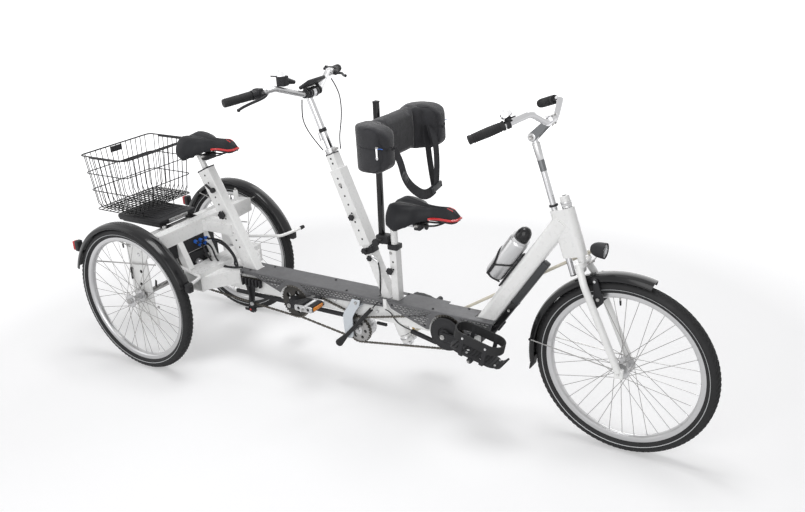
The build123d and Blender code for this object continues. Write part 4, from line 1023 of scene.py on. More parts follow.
class TRICYCLE_OT_saddles(bpy.types.Operator):
    """Two padded saddles with their red edge, steel rails, clamps and springs"""

    bl_idname = "tricycle.saddles"
    bl_label = "Saddles"

    def execute(self, context):
        for name, nose_x, base_z in (("front_saddle", 430, 764), ("rear_saddle", -636, 928)):
            piece = Piece(f"{name}_padded")
            shape = saddle_shape(nose_x, base_z)
            bmesh.ops.smooth_vert(shape, verts=shape.verts[:], factor=0.5, use_axis_x=True, use_axis_y=True,
                                  use_axis_z=True)
            piece.add(shape, "vinyl")
            skin = BVHTree.FromBMesh(piece.mesh)
            for side in (-1, 1):
                for points, radius, finish in (
                    ([(-112, 40, 17), (-90, 40, 22), (-60, 40, 23), (-30, 40, 22), (-8, 30, 24), (4, 12, 27),
                      (5, 0, 28)], 5, "red"),
                    ([(-104, 40, 10), (-70, 40, 11), (-34, 40, 8), (-6, 26, 10), (4, 0, 14)], 4, "plastic"),
                    ([(-46, 9, 74), (-30, 12, 72), (-14, 13, 66)], 2, "red"),
                    ([(-SADDLE_LENGTH, 60, 70), (-230, 30, 80), (-150, 16, 80), (-60, 14, 80), (-12, 12, 72)], 1.3,
                     "rubber"),
                ):
                    line = path_mesh([(nose_x + x, side * y, base_z + z) for x, y, z in points], 0, 3)
                    laid_on = [skin.find_nearest(vert.co)[0] for vert in line.vertices]
                    bpy.data.meshes.remove(line)
                    piece.add(tube(laid_on, radius, sides=10), finish)
                rail = [(nose_x - 44, side * 8, base_z + 16), (nose_x - 74, side * 14, base_z - 3),
                        (nose_x - 120, side * 22, base_z - 13), (nose_x - 215, side * 22, base_z - 13),
                        (nose_x - 250, side * 40, base_z + 8), (nose_x - 258, side * 46, base_z + 22)]
                piece.add(tube(rail, 3.6, sides=10), "rubber")
                piece.add(rod((nose_x - 226, side * 46, base_z - 22), (nose_x - 226, side * 46, base_z + 30), 13,
                              sides=20, edge=3), "rubber")
            made = piece.finish("frame", "vinyl", [name])
            clamp = Piece(f"{name}_clamp")
            grip_x = nose_x - 168
            clamp.add(box((grip_x - 18, -30, base_z - 22), (grip_x + 18, 30, base_z - 8), 3), "plastic")
            clamp.add(box((grip_x - 14, -32, base_z - 34), (grip_x + 14, 32, base_z - 20), 4), "plastic")
            clamp.add(rod((grip_x, -36, base_z - 14), (grip_x, 36, base_z - 14), 8, sides=18, edge=1), "steel")
            for side in (-1, 1):
                clamp.add(bolt_head((grip_x, side * 36, base_z - 14), (0, side, 0), 7, 5), "steel")
            if name == "front_saddle":
                clamp.add(turned([(14, -9), (16, -6), (16, 6), (14, 9)], (grip_x, 0, 744), (1, 0, 0), 28), "plastic")
            clamp.finish("frame", "steel")
        return {"FINISHED"}


REAR_GRIP = (Vector((-332, 350, 1244)), Vector((-246, 160, 1264)))
FRONT_GRIP = (Vector((631, 272, 1175)), Vector((728, 188, 1216)))


def along_bar(grip, side, back):
    """Point on one side of a bar, some way back from its end, and the direction outwards."""
    end, inner = (Vector((point.x, point.y * side, point.z)) for point in grip)
    outward = (end - inner).normalized()
    return end - outward * back, outward


def grip_shape(grip, side, profile):
    """Grip turned about its end of the bar from pairs of distance back from the end and radius."""
    tip, outward = along_bar(grip, side, 0)
    return turned([(radius, -back) for back, radius in profile], tip, outward, 28)


class TRICYCLE_OT_grips(bpy.types.Operator):
    """Ribbed grips, the front bell, and the clamps of both bars"""

    bl_idname = "tricycle.grips"
    bl_label = "Grips"

    def execute(self, context):
        front = Piece("front_grips_moulded")
        profile = [(-3, 0), (-3, 13), (-1, 15.4), (4, 15.8), (8, 14.4), (30, 15.5), (62, 16.6), (95, 15.6), (112, 14.6),
                   (116, 16.6), (122, 16.6), (122, 11.3)]
        for side in (-1, 1):
            front.add(grip_shape(FRONT_GRIP, side, profile), "rubber")
            for k in range(13):
                back = 14 + k * 7.4
                front.add(grip_shape(FRONT_GRIP, side,
                                     [(back, 15), (back + 1, 16.9), (back + 2.4, 16.9), (back + 3.4, 15)]), "rubber")
        front.finish("frame", "rubber", ["front_grips"])
        rear = Piece("rear_grips_moulded")
        profile = [(-3, 0), (-3, 14), (0, 16), (60, 16), (61, 15), (63, 15), (64, 16.4), (108, 17), (110, 16),
                   (110, 11.3)]
        for side in (-1, 1):
            rear.add(grip_shape(REAR_GRIP, side, profile), "rubber")
            for k in range(8):
                back = 6 + k * 6.6
                rear.add(grip_shape(REAR_GRIP, side,
                                    [(back, 15), (back + 0.8, 16.7), (back + 3, 16.7), (back + 3.8, 15)]), "rubber")
        rear.finish("rear_steering", "rubber", ["rear_grips"])
        self.front_fittings()
        self.rear_fittings()
        return {"FINISHED"}

    def front_fittings(self):
        piece = Piece("front_bar_fittings")
        spot, outward = along_bar(FRONT_GRIP, -1, 134)
        up = Vector((0.1, 0.1, 1)).normalized()
        top = spot + up * 22
        piece.add(turned([(11.3, -7), (16, -7), (16.5, 0), (16, 7), (11.3, 7)], spot, outward, 28, True), "plastic")
        piece.add(box((-9, -9, 10), (9, 9, 24), 3), "plastic", [Matrix.Translation(spot)])
        dome = [(0, 20), (9, 19), (16, 15), (20.5, 8), (22, 0), (22, -3), (20.5, -3), (18, 0), (0, 2)]
        piece.add(turned(dome, top + Vector((-6, -4, 8)), (-0.5, -0.25, 0.9), 36), "mirror")
        piece.add(turned([(0, -6), (19, -6), (19, 0), (0, 0)], top + Vector((-6, -4, 8)), (-0.5, -0.25, 0.9), 28),
                  "plastic")
        piece.add(beam(top + Vector((8, 2, -2)), top + Vector((24, -6, 6)), 10, 5, 2), "plastic")
        clamp = Vector((790, 0, 1192))
        for y in (-14, 14):
            piece.add(turned([(11.4, -7), (17.6, -7), (18.4, -4), (18.4, 4), (17.6, 7), (11.4, 7)], clamp + ACROSS * y,
                             (0, 1, 0), 28, True), "silver")
        for y in (-12, 12):
            piece.add(bolt_head(clamp + Vector((12, y, -14)), (0.7, 0, -0.7), 4.5, 4), "steel")
            piece.add(bolt_head(clamp + Vector((10, y, 15)), (0.5, 0, 0.86), 4.5, 4), "steel")
        joint, arm_end = Vector((730, 0, 1130)), Vector((784, 0, 1184))
        for y_from, y_to in ((-21, -12.5), (12.5, 21)):
            flank = arc((0, 0), 16, 100, 260, 8) + arc((74, 0), 12, -80, 80, 8)
            side = plate(flank, y_from, y_to, edge=2)
            slope = math.atan2(arm_end.z - joint.z, arm_end.x - joint.x)
            bmesh.ops.transform(side, matrix=Matrix.Translation(joint) @ Matrix.Rotation(-slope, 4, "Y"),
                                verts=side.verts[:])
            piece.add(side, "dark_metal")
        piece.add(rod(joint - ACROSS * 22, joint + ACROSS * 22, 15, sides=28, edge=2), "silver")
        for side in (-1, 1):
            piece.add(bolt_head(joint + ACROSS * side * 22, (0, side, 0), 8, 4), "steel")
        post = Vector((HEAD_BASE.x, 0, HEAD_BASE.z)) - lean_up(HEAD_LEAN - 90) * 48
        low, high = at_height(post, HEAD_LEAN, 1050), at_height(post, HEAD_LEAN, 1108)
        piece.add(rod(low, high, 12.4, 14.5, 28, 1), "silver")
        piece.add(rod(at_height(post, HEAD_LEAN, 1012), at_height(post, HEAD_LEAN, 1050), 11.6, 12.4, 28), "dark_metal")
        for height, radius in ((893, 18), (901, 21), (908, 19), (916, 17)):
            piece.add(rod(on_head(height), on_head(height + 7), radius,
                          sides=6 if height == 901 else 28, edge=1), "silver")
        piece.add(rod(on_head(922), on_head(934), 17.6, 12, 28, 2), "plastic")
        piece.add(rod(at_height(post, HEAD_LEAN, 890), at_height(post, HEAD_LEAN, 897), 16, sides=28, edge=1.5),
                  "plastic")
        piece.add(rod(at_height(post, HEAD_LEAN, 646), at_height(post, HEAD_LEAN, 656), 11.4, 9, 24, 1), "plastic")
        piece.finish("frame", "silver", ["front_bell"])

    def rear_fittings(self):
        piece = Piece("rear_bar_fittings")
        for side in (-1, 1):
            self.lever(piece, side)
        for back, radius, length, finish in ((112, 18.5, 22, "plastic"), (136, 16, 6, "silver"),
                                             (158, 16.5, 9, "silver"), (170, 15, 5, "silver")):
            for side in (-1, 1):
                if side == 1 and finish == "plastic":
                    continue
                spot, outward = along_bar(REAR_GRIP, side, back)
                ring = [(11.3, 0), (radius, 0), (radius, -length), (11.3, -length)]
                piece.add(turned(ring, spot, outward, 28, True), finish)
        spot, outward = along_bar(REAR_GRIP, -1, 140)
        piece.add(box((-19, -15, -17), (15, 13, 19), 6, 3), "plastic", [Matrix.Translation(spot)])
        piece.add(box((-10, -16.6, 2), (6, -15.4, 8), 0.5, 1), "red", [Matrix.Translation(spot)])
        far, _ = along_bar(REAR_GRIP, 1, 128)
        piece.add(box((-20, -14, -14), (12, 14, 18), 6, 3), "plastic", [Matrix.Translation(far)])
        for offset in ((-26, 6, 16), (-24, -8, 20), (-20, -24, 14)):
            piece.add(rod(far, far + Vector(offset), 5.5, sides=14, edge=1.5), "plastic")
        bell = Vector((-236, -140, 1262))
        piece.add(box((-18, -16, 8), (20, 16, 46), 4), "plastic", [Matrix.Translation(bell + Vector((4, 8, 0)))])
        piece.add(turned([(0, 24), (8, 22.5), (14, 18), (17.5, 10), (18, 2), (18, 0), (0, 0)],
                         bell + Vector((2, 4, 46)), (0, 0, 1), 36), "mirror")
        piece.add(beam(bell + Vector((-6, -10, 46)), bell + Vector((-20, -28, 50)), 8, 3, 1), "plastic")
        piece.add(rod(bell + Vector((4, 26, 24)), bell + Vector((16, 64, 12)), 14, 7.5, 20, 1), "plastic")
        clamp = Vector((-203, 0, 1222))
        for y in (-15, 15):
            piece.add(turned([(11.4, -8), (19.5, -8), (20.6, -5), (20.6, 5), (19.5, 8), (11.4, 8)], clamp + ACROSS * y,
                             (0, 1, 0), 28, True), "plastic")
            piece.add(rod(clamp + ACROSS * y * 1.5, clamp + ACROSS * y * 1.62, 9, sides=20, edge=0.8), "steel")
        piece.add(beam(clamp + Vector((4, 0, -2)), on_column(1212), 36, 26, 5), "plastic")
        screen = clamp + Vector((2, 6, 36))
        tilt = Matrix.Translation(screen) @ Matrix.Rotation(math.radians(-30), 4, "Y")
        piece.add(box((-32, -52, -7), (32, 52, 7), 5, 3), "plastic", [tilt])
        piece.add(box((-24, -42, 6), (24, 42, 8), 1.5), "screen", [tilt])
        for y in (-20, 20):
            piece.add(turned([(11.4, -5), (16, -5), (16, 5), (11.4, 5)], clamp + ACROSS * (y * 2.1), (0, 1, 0), 24,
                             True), "plastic")
            piece.add(beam(clamp + Vector((0, y * 2.1, 10)), clamp + Vector((0, y * 1.6, 34)), 9, 14, 2), "plastic")
        unit = on_column(1056, -22)
        piece.add(rod(unit - lean_up(COLUMN_LEAN) * 16, unit + lean_up(COLUMN_LEAN) * 16, 9, 7, 20, 1.5), "silver")
        piece.add(rod(on_column(1068), on_column(1082), 16, sides=24, edge=1), "plastic")
        piece.add(rod(on_column(986), on_column(1006), 23, sides=28, edge=2), "silver")
        lug = on_column(996, 24)
        piece.add(rod(lug - ACROSS * 14, lug + ACROSS * 14, 6, sides=16, edge=1), "steel")
        piece.finish("rear_steering", "black_plastic", ["rear_controls"])

    def lever(self, piece, side):
        """Brake lever: a clamp, a moulded bracket and a curved blade with a hooked tip."""
        spot, outward = along_bar(REAR_GRIP, side, 148)
        ahead = Vector((1, 0, 0)) - outward * outward.x
        ahead.normalize()
        down = Vector((0, 0, -1))
        root = spot + ahead * 24 + down * 6
        piece.add(beam(spot + ahead * 8, root + ahead * 6, 20, 20, 5), "plastic")
        points = [root - outward * 12, root + ahead * 16, root + ahead * 20 + outward * 26 + down * 4,
                  root + ahead * 12 + outward * 70 + down * 12, root + ahead * 8 + outward * 100 + down * 20,
                  root + ahead * 14 + outward * 112 + down * 22]
        piece.add(tube(points, 5.4, sides=10), "plastic")
        piece.add(rod(points[-1] - outward * 6, points[-1] + outward * 4, 7, 5.5, 16, 1.5), "plastic")


class TRICYCLE_OT_back_cushion(bpy.types.Operator):
    """Back cushion that wraps round the rider, swollen as cloth, with piping, zips and its belt"""

    bl_idname = "tricycle.back_cushion"
    bl_label = "Back cushion"

    def execute(self, context):
        self.cushion()
        self.belt()
        self.post()
        return {"FINISHED"}

    def cushion(self):
        inset, x_from, x_to, half, arm, low, high = 8, 108, 288, 230, 98, 994, 1172
        outline = arc((x_from + 74, half - 74), 74 - inset, 90, 180, 8)
        outline += arc((x_from + 74, 74 - half), 74 - inset, 180, 270, 8)
        outline += [(x_to - 34, inset - half), (x_to - 8 - inset, inset - half + 22),
                    (x_to - 8 - inset, -half + arm - inset - 20), (x_to - 30, -half + arm - inset),
                    (x_from + 100, -half + arm - inset), (x_from + 75 - inset, -half + arm + 24),
                    (x_from + 75 - inset, half - arm - 24), (x_from + 100, half - arm + inset),
                    (x_to - 30, half - arm + inset), (x_to - 8 - inset, half - arm + inset + 20),
                    (x_to - 8 - inset, half - inset - 22), (x_to - 34, half - inset)]
        shape = laid(plate(outline, -high + 4, -low - 4))
        bmesh.ops.scale(shape, vec=(MM, MM, MM), verts=shape.verts[:])
        mesh = bpy.data.meshes.new("back_cushion")
        shape.to_mesh(mesh)
        shape.free()
        made = bpy.data.objects.new("back_cushion", mesh)
        bpy.context.scene.collection.objects.link(made)
        bpy.context.view_layer.objects.active = made
        remesh = made.modifiers.new("remesh", "REMESH")
        remesh.mode = "VOXEL"
        remesh.voxel_size = 0.006
        self.apply(made)
        soften = made.modifiers.new("soften", "SMOOTH")
        soften.factor = 0.5
        soften.iterations = 14
        self.apply(made)
        self.round_ends(made, (x_to - inset) * MM, (low + high) / 2 * MM)
        self.swell(made, 0.013)
        creases = made.modifiers.new("even", "SMOOTH")
        creases.factor = 0.5
        creases.iterations = 2
        self.apply(made)
        seams = []
        for side in (-1, 1):
            seams.append([(x, side * 240, z) for x, z in
                          ((190, 1186), (232, 1172), (256, 1135), (264, 1085), (258, 1035), (240, 1000), (200, 982))])
            seams.append([(120, side * 236, 1092), (200, side * 240, 1092), (262, side * 236, 1090),
                          (296, side * 200, 1088), (296, side * 160, 1086), (250, side * 122, 1086)])
            seams.append([(x, side * 136, z) for x, z in
                          ((190, 1184), (240, 1176), (276, 1140), (288, 1084), (276, 1026), (240, 990), (190, 982))])
        self.sew(made, seams)
        for face in made.data.polygons:
            face.use_smooth = True
        made.data.materials.append(finish_named("fabric"))
        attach(made, "frame")
        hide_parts("backrest_cushion")
        trim = Piece("back_cushion_trim")
        cover = BVHTree.FromPolygons([vert.co for vert in made.data.vertices],
                                     [face.vertices for face in made.data.polygons])
        for points in seams:
            line = self.on_cover(cover, points)
            trim.add(tube(line, 1.6), "webbing")
        for side in (-1, 1):
            spot = Vector(self.on_cover(cover, [(244, side * 240, 1092), (250, side * 240, 1092)])[0])
            out = ACROSS * side
            trim.add(beam(spot + out * 1.5 + Vector((-6, 0, 0)), spot + out * 1.5 + Vector((6, 0, 0)), 4, 8, 1.5),
                     "steel")
            trim.add(plate([(spot.x - 4, spot.z - 2), (spot.x + 4, spot.z - 2), (spot.x + 3, spot.z - 30),
                            (spot.x + 5, spot.z - 38), (spot.x, spot.z - 43), (spot.x - 5, spot.z - 38),
                            (spot.x - 3, spot.z - 30)], *sorted((spot.y + side * 3, spot.y + side * 5.4)),
                           [round_hole(spot.x, spot.z - 37, 2.4)], 0.6), "mirror")
            trim.add(tube([spot + out * 3 + Vector((4, 0, -3)), spot + out * 5 + Vector((14, 0, 1)),
                           spot + out * 4 + Vector((26, 0, -2))], 1.5), "blue")
        trim.finish("frame", "fabric")

    def round_ends(self, made, end, middle):
        """Squeezes the two forward ends to a half round seen from the side."""
        reach, half = 0.074, 0.085
        for vert in made.data.vertices:
            beyond = vert.co.x - (end - reach)
            if beyond > 0:
                curve = half - reach * 0.8 * (1 - math.sqrt(max(0, 1 - min(1, beyond / reach) ** 2)))
                vert.co.z = middle + (vert.co.z - middle) * curve / half

    def on_cover(self, cover, points):
        """Points of a smooth path laid on the cover."""
        line = path_mesh(points, 0, 3)
        spots = [cover.find_nearest(vert.co * MM)[0] / MM for vert in line.vertices]
        bpy.data.meshes.remove(line)
        return spots

    def sew(self, made, seams):
        """Pulls the cover in along each seam."""
        cover = BVHTree.FromPolygons([vert.co for vert in made.data.vertices],
                                     [face.vertices for face in made.data.polygons])
        spots = [spot * MM for points in seams for spot in self.on_cover(cover, points)]
        near = KDTree(len(spots))
        for number, spot in enumerate(spots):
            near.insert(spot, number)
        near.balance()
        moves = []
        for vert in made.data.vertices:
            gap = near.find(vert.co)[2]
            moves.append(vert.normal * 0.004 * max(0, 1 - gap / 0.016) ** 2)
        for vert, move in zip(made.data.vertices, moves):
            vert.co -= move

    def apply(self, made):
        """Bakes the modifiers of an object into its mesh."""
        depsgraph = bpy.context.evaluated_depsgraph_get()
        baked = bpy.data.meshes.new_from_object(made.evaluated_get(depsgraph))
        made.modifiers.clear()
        made.data = baked

    def swell(self, made, cap):
        """Blows the cover up as cloth and caps how far each point may go."""
        start = [vert.co.copy() for vert in made.data.vertices]
        cloth = made.modifiers.new("cloth", "CLOTH")
        cloth.settings.use_pressure = True
        cloth.settings.uniform_pressure_force = 4
        cloth.settings.effector_weights.gravity = 0
        cloth.settings.quality = 4
        scene = bpy.context.scene
        for number in range(1, 16):
            scene.frame_set(number)
        self.apply(made)
        scene.frame_set(1)
        for vert, rest in zip(made.data.vertices, start):
            step = vert.co - rest
            if step.length > cap:
                vert.co = rest + step.normalized() * cap

    def belt(self):
        """Webbing from both ends of the cushion to a buckle that hangs between them."""
        piece = Piece("back_belt")
        for points in (
            ((250, -134, 1075), (268, -130, 1042), (277, -127, 1005), (281, -124, 972), (284, -92, 926),
             (286, -34, 882), (285, 8, 862), (283, 50, 860), (281, 84, 866)),
            ((226, 128, 1096), (234, 120, 1060), (244, 112, 990), (258, 104, 915), (272, 94, 872)),
            ((244, 133, 1092), (268, 120, 1066), (280, 112, 1010), (282, 106, 940), (280, 96, 876)),
        ):
            self.strap(piece, points, 38)
        for place, turn, half in (((282, 92, 868), 10, 38), ((282, -122, 968), -58, 22)):
            tilt = Matrix.Translation(place) @ Matrix.Rotation(math.radians(turn), 4, "X")
            piece.add(box((-5, -half, -12), (5, half, 12), 3, 3), "grey_case", [tilt])
            for y in (-half + 8, half - 8):
                piece.add(box((-6.4, y - 2, -10), (6.4, y + 2, 10), 1.4), "plastic", [tilt])
        piece.finish("frame", "fabric")

    def strap(self, piece, points, width):
        """Flat band along a smooth path, its width square to the path and to X."""
        line = path_mesh(points, 0, 4)
        spots = [vert.co.copy() for vert in line.vertices]
        bpy.data.meshes.remove(line)
        shape = bmesh.new()
        rows = []
        for number, spot in enumerate(spots):
            run = spots[min(number + 1, len(spots) - 1)] - spots[max(number - 1, 0)]
            wide = run.cross(Vector((1, 0, 0.15))).normalized() * width / 2
            rows.append((shape.verts.new(spot - wide), shape.verts.new(spot + wide)))
        for (a, b), (c, d) in zip(rows, rows[1:]):
            shape.faces.new((a, b, d, c))
        bmesh.ops.recalc_face_normals(shape, faces=shape.faces[:])
        bmesh.ops.solidify(shape, geom=shape.faces[:], thickness=1.8)
        piece.add(closed_up(shape), "webbing")

    def post(self):
        """Back support's square post with its row of holes drawn as dark discs of painted shade, clamp block, lever and
        knobs.
        """
        piece = Piece("backrest_post_drilled")
        piece.add(beam((78, 0, 640), (94, 0, 1205), 20, 20, 2.5), "gloss")
        piece.add(beam((94, 0, 1201), (94.1, 0, 1207), 21, 21, 1.5), "plastic")
        # The holes are thin dark discs on both flanks, painted shade standing for their insides
        for k in range(13):
            z = 690 + k * 38
            x = 78 + (z - 640) * 16 / 565
            for side in (-1, 1):
                piece.add(rod((x, side * 9.6, z), (x, side * 10.3, z), 3.4, sides=14), "rubber")
        piece.add(box((62, -21, 646), (118, 21, 680), 4), "plastic")
        piece.add(rod((84, -44, 663), (84, -20, 663), 5, sides=16), "steel")
        piece.add(rod((84, -60, 663), (84, -42, 663), 16, 14, 10, 3), "plastic")
        piece.add(beam((84, -36, 668), (52, -58, 640), 9, 6, 2), "plastic")
        piece.finish("frame", "black_gloss", ["backrest_post"])


class TRICYCLE_OT_guards(bpy.types.Operator):
    """Glossy mudguards with rolled edges, their stays, hoops and the tail lamps"""

    bl_idname = "tricycle.guards"
    bl_label = "Mudguards"

    def execute(self, context):
        for name, body, centre, outer, start, end in (
            ("rear_mudguard_left", "frame", REAR_AXLE + ACROSS * HALF_TRACK, 351, 19, 163),
            ("rear_mudguard_right", "frame", REAR_AXLE - ACROSS * HALF_TRACK, 351, 19, 163),
            ("front_mudguard", "fork", FRONT_AXLE, 357, 74, 188),
        ):
            piece = Piece(f"{name}_rolled")
            piece.add(self.guard(centre, outer, start, end), "gloss")
            if name == "front_mudguard":
                self.front_stays(piece, centre)
            else:
                self.rear_stays(piece, centre)
            piece.finish(body, "black_gloss", [name])
        self.hoops()
        self.tail_lamps()
        return {"FINISHED"}

    def guard(self, centre, outer, start, end):
        """Curved channel swept over a wheel between two angles from forward."""
        skin = [(outer - 23, 31), (outer - 22, 32), (outer - 12, 31), (outer - 5, 26), (outer - 1.4, 16), (outer, 6)]
        skin += [(r, -y) for r, y in reversed(skin)]
        inner = [(r - 2, y * 0.93) for r, y in reversed(skin)]
        shape = bmesh.new()
        verts = [shape.verts.new((radius, y, 0)) for radius, y in skin + inner]
        face = shape.faces.new(verts)
        bmesh.ops.spin(shape, geom=[face], cent=(0, 0, 0), axis=(0, -1, 0), angle=math.radians(end - start),
                       steps=int((end - start) / GUARD_STEP), use_merge=False)
        bmesh.ops.transform(shape, matrix=Matrix.Translation(centre) @ Matrix.Rotation(-math.radians(start), 4, "Y"),
                            verts=shape.verts[:])
        return closed_up(shape)

    def front_stays(self, piece, centre):
        for side in (-1, 1):
            tip = Vector((724, side * 32, 377))
            piece.add(tube([(1047, side * 57, 346), (900, side * 46, 360), tip], 2.2, 2), "steel")
            piece.add(rod(tip - ACROSS * side * 3, tip + ACROSS * side * 3, 5, sides=14, edge=1), "plastic")
        piece.add(box((899, -11, 644), (913, 11, 667), 1.5), "steel")
        flap = centre + Vector((-346, 0, -58))
        piece.add(box((-2.5, -29, -20), (2.5, 29, 24), 2), "rubber",
                  [Matrix.Translation(flap) @ Matrix.Rotation(0.16, 4, "Y")])

    def rear_stays(self, piece, centre):
        side = 1 if centre.y > 0 else -1
        for angle, root_x, root_z in ((60, -900, 590), (128, -1070, 555)):
            turn = math.radians(angle)
            tip = centre + Vector((337 * math.cos(turn), -side * 30, 337 * math.sin(turn)))
            root = Vector((root_x, side * 296, root_z))
            piece.add(tube([root, (root + tip) / 2 + Vector((0, 0, 4)), tip], 2.6, 2), "steel")
            piece.add(rod(tip - ACROSS * 4, tip + ACROSS * 4, 6, sides=14, edge=1), "plastic")
            piece.add(bolt_head(root, (0, side, 0), 5, 3), "steel")
        turn = math.radians(160)
        tip = centre + Vector((337 * math.cos(turn), -side * 30, 337 * math.sin(turn)))
        piece.add(rod((-914, side * 295.6, 488), tip, 2.8, sides=10), "steel")

    def hoops(self):
        piece = Piece("mudguard_hoops_round")
        for side in (-1, 1):
            points = [(-880, 200 * side, 455), (-800, 226 * side, 458), (-722, 252 * side, 461),
                      (-686, 264 * side, 462), (-676, 284 * side, 463), (-660, 322 * side, 467),
                      (-638, 366 * side, 476)]
            piece.add(tube(points, 7, sides=16), "white")
            piece.add(rod((-641, 360 * side, 474), (-631, 380 * side, 480), 9.5, 8, 18, 4), "rubber")
            piece.add(box((-690, side * 342 - 14, 424), (-662, side * 342 + 14, 462), 5), "plastic")
        piece.finish("frame", "black_gloss", ["mudguard_hoops"])

    def tail_lamps(self):
        piece = Piece("rear_lights_moulded")
        for side in (-1, 1):
            y = side * HALF_TRACK
            piece.add(box((-1358, y - 15, 503), (-1334, y + 15, 552), 5, 3), "plastic")
            piece.add(box((-1373, y - 14, 506), (-1357, y + 14, 549), 6, 3), "red")
            for k in range(5):
                piece.add(box((-1374, y - 11, 511 + k * 8), (-1372, y + 11, 514 + k * 8), 0.6, 1), "red")
            piece.add(beam((-1340, y, 520), (-1322, y, 500), 16, 5, 1.5), "plastic")
        piece.finish("frame", "red_lens", ["rear_lights"])


class TRICYCLE_OT_basket(bpy.types.Operator):
    """Round-wire basket with its rim and bail, on the battery case with its latch"""

    bl_idname = "tricycle.basket"
    bl_label = "Basket"

    def execute(self, context):
        sizes = context.scene.tricycle_sizes
        self.wires(sizes.basket_wires, sizes.wire_radius)
        self.case()
        return {"FINISHED"}

    def ring(self, share, grow=0.0):
        floor, top, z = (-1386, -1140, 180), (-1398, -1120, 208), (645, 905)
        x_from, x_to, half = (a + (b - a) * share for a, b in zip(floor, top))
        height = z[0] + (z[1] - z[0]) * share
        x_from, x_to, half, round_r = x_from - grow, x_to + grow, half + grow, 22
        points = []
        for cx, cy, start in ((x_to - round_r, half - round_r, 0), (x_from + round_r, half - round_r, 90),
                              (x_from + round_r, round_r - half, 180), (x_to - round_r, round_r - half, 270)):
            points += [(x, y, height) for x, y in arc((cx, cy), round_r, start, start + 90, 4)]
        return points

    def wires(self, count, radius):
        piece = Piece("basket_wired")
        for share, size in ((0.0, 2.4), (0.36, 2.4), (0.68, 2.4), (1.0, 3.4)):
            piece.add(tube(self.ring(share), size, 2, 8, True), "gloss")
        low, high = self.ring(0), self.ring(1)
        x_low = (min(p[0] for p in low), max(p[0] for p in low))
        x_high = (min(p[0] for p in high), max(p[0] for p in high))
        y_low, y_high = max(p[1] for p in low), max(p[1] for p in high)
        for k in range(1, count):
            share = k / count
            y0, y1 = y_low * (2 * share - 1), y_high * (2 * share - 1)
            piece.add(tube([(x_high[0], y1, 905), (x_low[0], y0, 645), (x_low[1], y0, 645), (x_high[1], y1, 905)],
                           radius, 2, 6), "gloss")
        for k in range(1, 9):
            share = k / 9
            x0, x1 = (a + (b - a) * share for a, b in (x_low, x_high))
            piece.add(tube([(x1, y_high, 905), (x0, y_low, 645), (x0, -y_low, 645), (x1, -y_high, 905)], radius, 2, 6),
                      "gloss")
        for k in range(1, 10):
            x = x_low[0] + (x_low[1] - x_low[0]) * (k + 0.5) / 10
            piece.add(rod((x, -y_low, 646), (x, y_low, 646), radius, sides=6), "gloss")
        for k in range(1, 18):
            y = y_low * (2 * (k + 0.5) / 18 - 1)
            piece.add(rod((x_low[0], y, 643.5), (x_low[1], y, 643.5), radius, sides=6), "gloss")
        for y in (-95, 95):
            piece.add(tube([(-1315.7, y, 645), (-1315.7, y, 612), (-1308, y, 607), (-1184, y, 607), (-1175.1, y, 612),
                            (-1175.1, y, 645)], 2, 2), "gloss")
        piece.add(box((-1400.5, -34, 872), (-1397.5, 34, 899), 1), "plastic")
        bail = [(-1330, -206, 900), (-1200, -207, 899), (-1118, -196, 901), (-1112, -120, 902), (-1110, 0, 902),
                (-1112, 120, 902), (-1118, 196, 901), (-1200, 207, 899), (-1330, 206, 900)]
        piece.add(tube(bail, 4, sides=12), "plastic")
        piece.finish("frame", "black_gloss", ["basket"])

    def case(self):
        piece = Piece("battery_rack_cased")
        piece.add(box((-1335, -113, 583), (-1055, 113, 605), 7, 3), "plastic")
        piece.add(box((-1331, -109, 577), (-1059, 109, 584), 2), "plastic")
        piece.add(box((-1300, -80, 604), (-1090, 80, 607), 2), "plastic")
        for y in (-80, 80):
            piece.add(box((-1330, y - 10, 563), (-922, y + 10, 577), 2), "gloss")
        for k in range(9):
            y = -84 + k * 21
            piece.add(box((-1285, y - 2, 606), (-1110, y + 2, 608.6), 1, 1), "plastic")
        piece.add(box((-1058, -58, 584), (-1051, 58, 600), 2), "silver")
        piece.add(box((-1052, -24, 588), (-1046, 24, 597), 2), "steel")
        for y in (-98, -90):
            piece.add(box((-1060, y - 2, 566), (-1044, y + 2, 578), 1), "white")
        piece.finish("frame", "black_plastic", ["battery_rack"])


